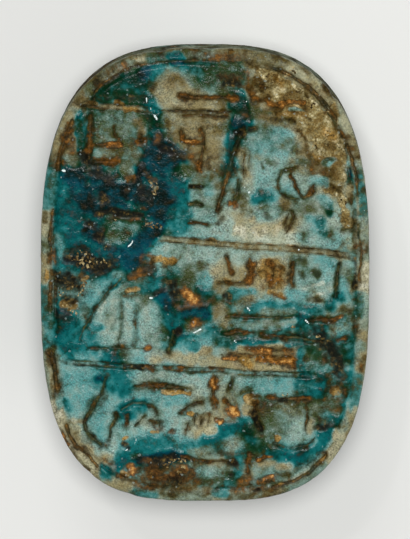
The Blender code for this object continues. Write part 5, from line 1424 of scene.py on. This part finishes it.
def addFinishMasks(body):
    # Point attributes from each point's place: the underside's own finish above the plinth's
    # middle, and a plainer one from noise on the sides and the back.
    mesh = body.data
    co = np.empty(len(mesh.vertices) * 3)
    mesh.vertices.foreach_get("co", co)
    co = co.reshape(-1, 3) / mm
    x, y, depth = co[:, 0], co[:, 1], height - co[:, 2]
    face = undersideFields(x, y)
    plinth, radius = blockForm["plinth"], blockForm["piercingRadius"]
    inner = ease((edgeInset(x, y) - 0.3) / 0.3)
    onFace = ease((wornSides["edgeLevel"] + 0.15 * inner - depth) / 0.45)
    noises = (wornSides[key] for key in ("broad", "patchy", "tight"))
    broad, patchy, tight = (layeredNoise(co, *recipe) for recipe in noises)
    _, lines = backSurface(x, y)
    lines = lines * (depth > plinth + 0.3)
    fromBore = np.hypot(x, depth - blockForm["piercingHeight"])
    inBore = ease((radius + 0.05 - fromBore) / 0.1)
    low = ease((depth - plinth) / 0.3) * ease((plinth + 1.4 - depth) / 0.8)
    # the plinth's side is darkened with grime and soot, partly as painted shade
    shadedWall = ease((depth - 0.3) / 0.3) * ease((plinth + 0.2 - depth) / 0.3)
    none = np.zeros(len(x))
    sooty = ease((-broad * 0.6 - tight * 0.5 - 0.4) / 0.35) * 0.7
    sooty = np.maximum(sooty, np.maximum(0.5 * low, inBore))
    rusty = ease((tight * 0.7 + broad * 0.5 - 0.5) / 0.3) * 0.9
    back = {
        "glaze": 0.4 + 0.2 * broad + 0.08 * patchy + 0.12 * low - 0.1 * shadedWall,
        "haze": np.maximum(ease(0.25 + 0.5 * patchy - 0.2 * broad), 0.3 * shadedWall),
        "grime": np.clip(0.35 + 0.4 * tight + 0.3 * patchy + 0.3 * low + 0.55 * shadedWall, 0, 1),
        "rust": np.maximum(0.7 * lines, rusty),
        "soot": np.maximum(sooty, 0.6 * shadedWall * ease(0.35 + 1.2 * tight)),
        "sand": ease((patchy - 0.5) / 0.35) * ease((depth - 1.0) / 0.6) * 0.9,
        "gilt": none,
        "pallor": none,
        "grit": ease((tight - 0.7) / 0.2),
        "cut": lines,
        "shine": none,
    }
    for name, plain in back.items():
        values = face[name]
        if name in wornSides["rimTone"]:
            tone = wornSides["rimTone"][name]
            values = values + (tone - values) * face["rim"] * wornSides["rimShare"]
        values = values * onFace + plain * (1 - onFace)
        layer = mesh.attributes.new(name, "FLOAT", "POINT")
        layer.data.foreach_set("value", np.clip(values, -0.5, 1.2).astype(np.float32))


glazeFinish = {
    # ramps: places from 0 to 1 and their colours
    "ramps": {
        "glaze": (
            (0.00, 160, 160, 132), (0.12, 150, 160, 138), (0.23, 130, 152, 140),
            (0.33, 104, 146, 140), (0.43, 64, 128, 127), (0.52, 22, 102, 102), (0.61, 2, 82, 82),
            (0.71, 0, 58, 70), (0.8, 4, 36, 36), (0.92, 13, 15, 10),
        ),
        "haze": ((0.25, 96, 80, 38), (0.5, 142, 128, 84), (0.75, 182, 170, 136)),
        "sand": (
            (0.34, 102, 84, 46), (0.43, 114, 94, 50), (0.51, 134, 119, 76), (0.58, 152, 141, 100),
            (0.67, 206, 194, 154),
        ),
        "rust": (
            (0.15, 30, 26, 10), (0.34, 58, 40, 14), (0.5, 84, 56, 20), (0.64, 110, 70, 24),
            (0.76, 144, 94, 36), (0.92, 198, 150, 82),
        ),
        "soot": ((0.42, 11, 12, 8), (0.52, 24, 24, 15), (0.6, 54, 44, 22), (0.7, 104, 84, 42)),
        "grit": ((0.1, 52, 42, 20), (0.55, 96, 76, 40), (0.95, 158, 142, 100)),
        "dirt": (
            (0.34, 26, 30, 18), (0.46, 42, 38, 17), (0.55, 68, 52, 22), (0.64, 104, 76, 34),
            (0.74, 150, 118, 62),
        ),
        "moss": (
            (0.34, 20, 32, 24), (0.46, 38, 48, 28), (0.55, 62, 66, 34), (0.64, 88, 88, 48),
            (0.74, 116, 118, 76),
        ),
    },
    "gilt": linear(180, 138, 66),
    "pallor": linear(200, 204, 186),
    # pale crystal flecks, which also serve as painted sparkle, tiny highlights
    "fleckSparkle": linear(176, 196, 192),
    # painted highlight: the white of the glints on the glassy drops
    "paintedGlint": linear(216, 230, 226),
    "grimeTint": (0.2, 0.15, 0.015, 1.0),
    "pore": (0.4, 0.38, 0.3, 1.0),
    # noises: scale, detail and roughness
    "noises": {
        "cloud": (700.0, 3.0, 0.6),
        "mottle": (2100.0, 2.0, 0.5),
        "speck": (6500.0, 1.0, 0.5),
        "grain": (8500.0, 1.0, 0.6),
        "crumb": (1500.0, 4.0, 0.62),
        "dirt": (1100.0, 4.0, 0.65),
        "flame": (2600.0, 2.0, 0.6),
        "soot": (2900.0, 3.0, 0.6),
    },
    "crystalScale": 7400.0,
    "wobble": (0.64, 0.7, 0.15),  # shares of cloud, mottle and speck
    # covers: the mask, how far the wobble frays it, where it starts and is full, the most cover
    "covers": {
        "haze": ("haze", 1.2, 0.05, 1.05, 0.9),
        "sand": ("sand", 1.3, 0.34, 0.85, 1.0),
        "pallor": ("pallor", 1.2, 0.25, 1.0, 0.8),
        "grime": ("grime", 1.8, 0.0, 1.2, 0.95),
        "grimeShadeBesideCut": ("cut", 1.4, 0.05, 0.9, 0.55),
        "cut": ("cut", 0.42, 0.62, 0.8, 0.9),
        "soot": ("soot", 1.1, 0.12, 0.85, 0.94),
        "shine": ("shine", 0.5, 0.78, 0.9, 1.0),
    },
    "specular": 0.06,
    "roughRange": (0.08, 0.85),
    "wallRough": 0.55,
    "bumpDistance": 0.0001,
}


def scarabFinish():
    # Layers of colour, each laid over the last as far as its cover says: glaze, haze, bare sand,
    # pale crust, grime, dirt and painted shade in and beside the cuts, rust, soot, grit, pores,
    # crystal flecks that also serve as painted sparkle, and glints that are painted highlights.
    finish = glazeFinish
    material = bpy.data.materials.new("glazedFaience")
    material.use_nodes = True
    tree = material.node_tree
    nodes, links = tree.nodes, tree.links
    shader = nodes["Principled BSDF"]
    coords = nodes.new("ShaderNodeTexCoord").outputs["Object"]

    def feed(socket, value):
        if isinstance(value, (int, float, tuple)):
            socket.default_value = value
        else:
            links.new(value, socket)

    def mask(name):
        node = nodes.new("ShaderNodeAttribute")
        node.attribute_name = name
        return node.outputs["Fac"]

    def noise(name):
        node = nodes.new("ShaderNodeTexNoise")
        for socket, value in zip(("Scale", "Detail", "Roughness"), finish["noises"][name]):
            node.inputs[socket].default_value = value
        links.new(coords, node.inputs["Vector"])
        return node.outputs["Fac"]

    def maths(operation, *values):
        node = nodes.new("ShaderNodeMath")
        node.operation = operation
        for socket, value in zip(node.inputs, values):
            feed(socket, value)
        return node.outputs[0]

    def plus(base, value, share):
        return maths("MULTIPLY_ADD", value, share, base)

    def centred(value):
        return maths("SUBTRACT", value, 0.5)

    def stretch(value, start, stop, low=0.0, high=1.0):
        node = nodes.new("ShaderNodeMapRange")
        node.interpolation_type = "SMOOTHSTEP"
        sockets = ("Value", "From Min", "From Max", "To Min", "To Max")
        for socket, number in zip(sockets, (value, start, stop, low, high)):
            feed(node.inputs[socket], number)
        return node.outputs["Result"]

    def ramp(value, name):
        node = nodes.new("ShaderNodeValToRGB")
        elements = node.color_ramp.elements
        while len(elements) > 1:
            elements.remove(elements[-1])
        for order, (position, *colour) in enumerate(finish["ramps"][name]):
            stop = elements.new(position) if order else elements[0]
            stop.position = position
            stop.color = linear(*colour)
        links.new(value, node.inputs["Fac"])
        return node.outputs["Color"]

    def mix(factor, one, other, blend="MIX"):
        node = nodes.new("ShaderNodeMix")
        node.data_type = "RGBA"
        node.blend_type = blend
        for index, value in ((0, factor), (6, one), (7, other)):
            feed(node.inputs[index], value)
        return node.outputs[2]

    def cover(name):
        masked, fray, start, stop, most = finish["covers"][name]
        return stretch(plus(mask(masked), wobble, fray), start, stop, 0.0, most)

    cloud, mottle, speck, grain = map(noise, ("cloud", "mottle", "speck", "grain"))
    cells = nodes.new("ShaderNodeTexVoronoi")
    cells.inputs["Scale"].default_value = finish["crystalScale"]
    links.new(coords, cells.inputs["Vector"])
    split = nodes.new("ShaderNodeSeparateColor")
    links.new(cells.outputs["Color"], split.inputs[0])
    crystalTone, crystalPick, crystalShade = split.outputs

    # wobble runs about -0.3 to 0.3: three sizes of noise together
    cloudShare, mottleShare, speckShare = finish["wobble"]
    wobble = maths("MULTIPLY", centred(cloud), cloudShare)
    wobble = plus(wobble, centred(mottle), mottleShare)
    wobble = plus(wobble, centred(speck), speckShare)

    colour = ramp(plus(mask("glaze"), wobble, 0.4), "glaze")
    hazeCover, sandCover, sootCover, paintedGlintCover = map(cover, ("haze", "sand", "soot", "shine"))
    colour = mix(hazeCover, colour, ramp(plus(0.5, wobble, 0.8), "haze"))
    crumb = noise("crumb")
    sandTone = ramp(plus(crumb, centred(crystalTone), 0.1), "sand")
    sandTone = mix(maths("MULTIPLY", mask("gilt"), 0.6), sandTone, finish["gilt"])
    colour = mix(sandCover, colour, sandTone)
    colour = mix(cover("pallor"), colour, finish["pallor"])
    colour = mix(cover("grime"), colour, finish["grimeTint"], "MULTIPLY")
    # grime and painted shade beside the cuts
    colour = mix(cover("grimeShadeBesideCut"), colour, finish["grimeTint"], "MULTIPLY")

    # dirt and painted shade in the cuts are mossy on glaze and brown on haze or rust, and thinner
    # under thick glaze
    cutDirtShade = maths("MULTIPLY", cover("cut"), stretch(mask("glaze"), 0.46, 0.6, 1.0, 0.45))
    warm = stretch(maths("ADD", mask("haze"), mask("rust")), 0.25, 0.65)
    middle = maths("MULTIPLY", stretch(mask("cut"), 0.84, 0.97, 0.0, 0.1), warm)
    dirtTone = maths("ADD", noise("dirt"), middle)
    colour = mix(cutDirtShade, colour, mix(warm, ramp(dirtTone, "moss"), ramp(dirtTone, "dirt")))

    flame = plus(maths("MULTIPLY", mask("rust"), 0.8), centred(noise("flame")), 1.3)
    rustFray = maths("MULTIPLY", wobble, stretch(mask("glaze"), 0.42, 0.56, 1.5, 0.45))
    rustCover = stretch(maths("ADD", rustFray, mask("rust")), 0.1, 0.7, 0.0, 0.92)
    colour = mix(rustCover, colour, ramp(flame, "rust"))
    colour = mix(sootCover, colour, ramp(noise("soot"), "soot"))
    gritPick = plus(maths("MULTIPLY", mask("grit"), 0.55), crystalPick, 0.9)
    colour = mix(stretch(gritPick, 1.06, 1.18), colour, ramp(crystalShade, "grit"))
    colour = mix(stretch(speck, 0.59, 0.7, 0.0, 0.52), colour, finish["pore"], "MULTIPLY")

    # light and dark grain, calmer where the glaze is thick
    thick = stretch(mask("glaze"), 0.3, 0.56)
    tone = plus(plus(maths("MULTIPLY", mottle, 0.25), speck, 0.4), grain, 0.35)
    busy = plus(stretch(cloud, 0.35, 0.65, 0.68, 1.35), thick, -0.55)
    shade = nodes.new("ShaderNodeHueSaturation")
    links.new(plus(1.0, stretch(tone, 0.36, 0.64, -0.42, 0.4), busy), shade.inputs["Value"])
    links.new(colour, shade.inputs["Color"])
    colour = shade.outputs["Color"]
    # pale crystal flecks, also painted sparkle
    colour = mix(stretch(crystalTone, 0.989, 0.995, 0.0, 0.22), colour, finish["fleckSparkle"])
    # painted highlights: white glints over the glassy drops
    colour = mix(paintedGlintCover, colour, finish["paintedGlint"])
    links.new(colour, shader.inputs["Base Color"])

    rough = plus(plus(0.08, grain, 0.2), sandCover, 0.4)
    rough = plus(rough, rustCover, 0.25)
    rough = plus(rough, sootCover, 0.45)
    rough = plus(rough, hazeCover, 0.15)
    rough = plus(rough, paintedGlintCover, -0.5)
    place = nodes.new("ShaderNodeSeparateXYZ")
    links.new(coords, place.inputs[0])
    wallFoot, wallTop = (height - 0.9) * mm, (height - 0.35) * mm
    wallRough = stretch(place.outputs["Z"], wallFoot, wallTop, finish["wallRough"], 0.0)
    least, most = finish["roughRange"]
    rough = maths("MINIMUM", maths("MAXIMUM", maths("ADD", rough, wallRough), least), most)
    links.new(rough, shader.inputs["Roughness"])
    shader.inputs["Specular IOR Level"].default_value = finish["specular"]

    bump = nodes.new("ShaderNodeBump")
    sandBump = maths("MULTIPLY", crumb, sandCover)
    links.new(plus(plus(mottle, grain, 0.5), sandBump, 3.0), bump.inputs["Height"])
    links.new(plus(0.8, thick, -0.6), bump.inputs["Strength"])
    bump.inputs["Distance"].default_value = finish["bumpDistance"]
    links.new(bump.outputs["Normal"], shader.inputs["Normal"])
    return material


print("Building the scarab")
scarab = pierced(scarabMesh())
print("Laying on glaze, stains and grit")
addFinishMasks(scarab)
scarab.data.materials.clear()
scarab.data.materials.append(scarabFinish())
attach(scarab, "root")
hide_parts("scarab")
print("Scarab triangles:", sum(len(face.vertices) - 2 for face in scarab.data.polygons))

studioSettings = {
    "floorSize": 1.6,
    "floorColour": linear(217, 217, 214),
    "floorRoughness": 0.9,
    "worldColour": linear(250, 251, 252),
    "worldStrength": 0.24,
    # lamps: power, size and place
    "lamps": {
        "over": (1.9, 0.12, (0.0, 0.08, 0.5)),
        "key": (0.3, 0.16, (-0.06, 0.3, 0.34)),
        "spark": (0.12, 0.02, (-0.1, 0.2, 0.44)),
        "right": (0.42, 0.26, (0.32, -0.22, 0.24)),
    },
    "noGloss": ("right",),  # lamps that the glaze doesn't mirror
    "cameraFar": 0.4,
    "cameraTilt": 8.0,
    "viewTall": 37.62,
    "cameraMiddle": (0.0, 0.0005),
    "sensorTall": 24,
}


def studio():
    print("Setting the floor, lights and camera")
    setting = studioSettings
    size = setting["floorSize"] / 2
    floorMesh = bpy.data.meshes.new("studioFloor")
    corners = [(-size, -size, 0), (size, -size, 0), (size, size, 0), (-size, size, 0)]
    floorMesh.from_pydata(corners, [], [(0, 1, 2, 3)])
    paper = bpy.data.materials.new("palePaper")
    paper.use_nodes = True
    shader = paper.node_tree.nodes["Principled BSDF"]
    shader.inputs["Base Color"].default_value = setting["floorColour"]
    shader.inputs["Roughness"].default_value = setting["floorRoughness"]
    floorMesh.materials.append(paper)
    added("studioFloor", floorMesh)

    world = bpy.data.worlds.new("studioAir")
    world.use_nodes = True
    air = world.node_tree.nodes["Background"]
    air.inputs["Color"].default_value = setting["worldColour"]
    air.inputs["Strength"].default_value = setting["worldStrength"]
    bpy.context.scene.world = world
    target = Vector((0, 0, height * mm))
    for name, (power, size, place) in setting["lamps"].items():
        lamp = bpy.data.lights.new(name + "Light", "AREA")
        lamp.shape = "DISK"
        lamp.size = size
        lamp.energy = power
        holder = added(name + "Light", lamp)
        holder.location = place
        holder.visible_glossy = name not in setting["noGloss"]
        holder.rotation_euler = (target - holder.location).to_track_quat("-Z", "Y").to_euler()

    lens = bpy.data.cameras.new("camera")
    lens.sensor_fit = "VERTICAL"
    lens.sensor_height = setting["sensorTall"]
    lens.lens = setting["cameraFar"] / (setting["viewTall"] * mm) * setting["sensorTall"]
    lens.clip_start = 0.01
    camera = added("camera", lens)
    tilt = math.radians(setting["cameraTilt"])
    middle = Vector((*setting["cameraMiddle"], height * mm))
    camera.location = middle + setting["cameraFar"] * Vector((0, math.sin(tilt), math.cos(tilt)))
    camera.rotation_euler = (-tilt, 0, 0)
    bpy.context.scene.camera = camera
    bpy.context.scene.view_settings.view_transform = "Standard"


studio()
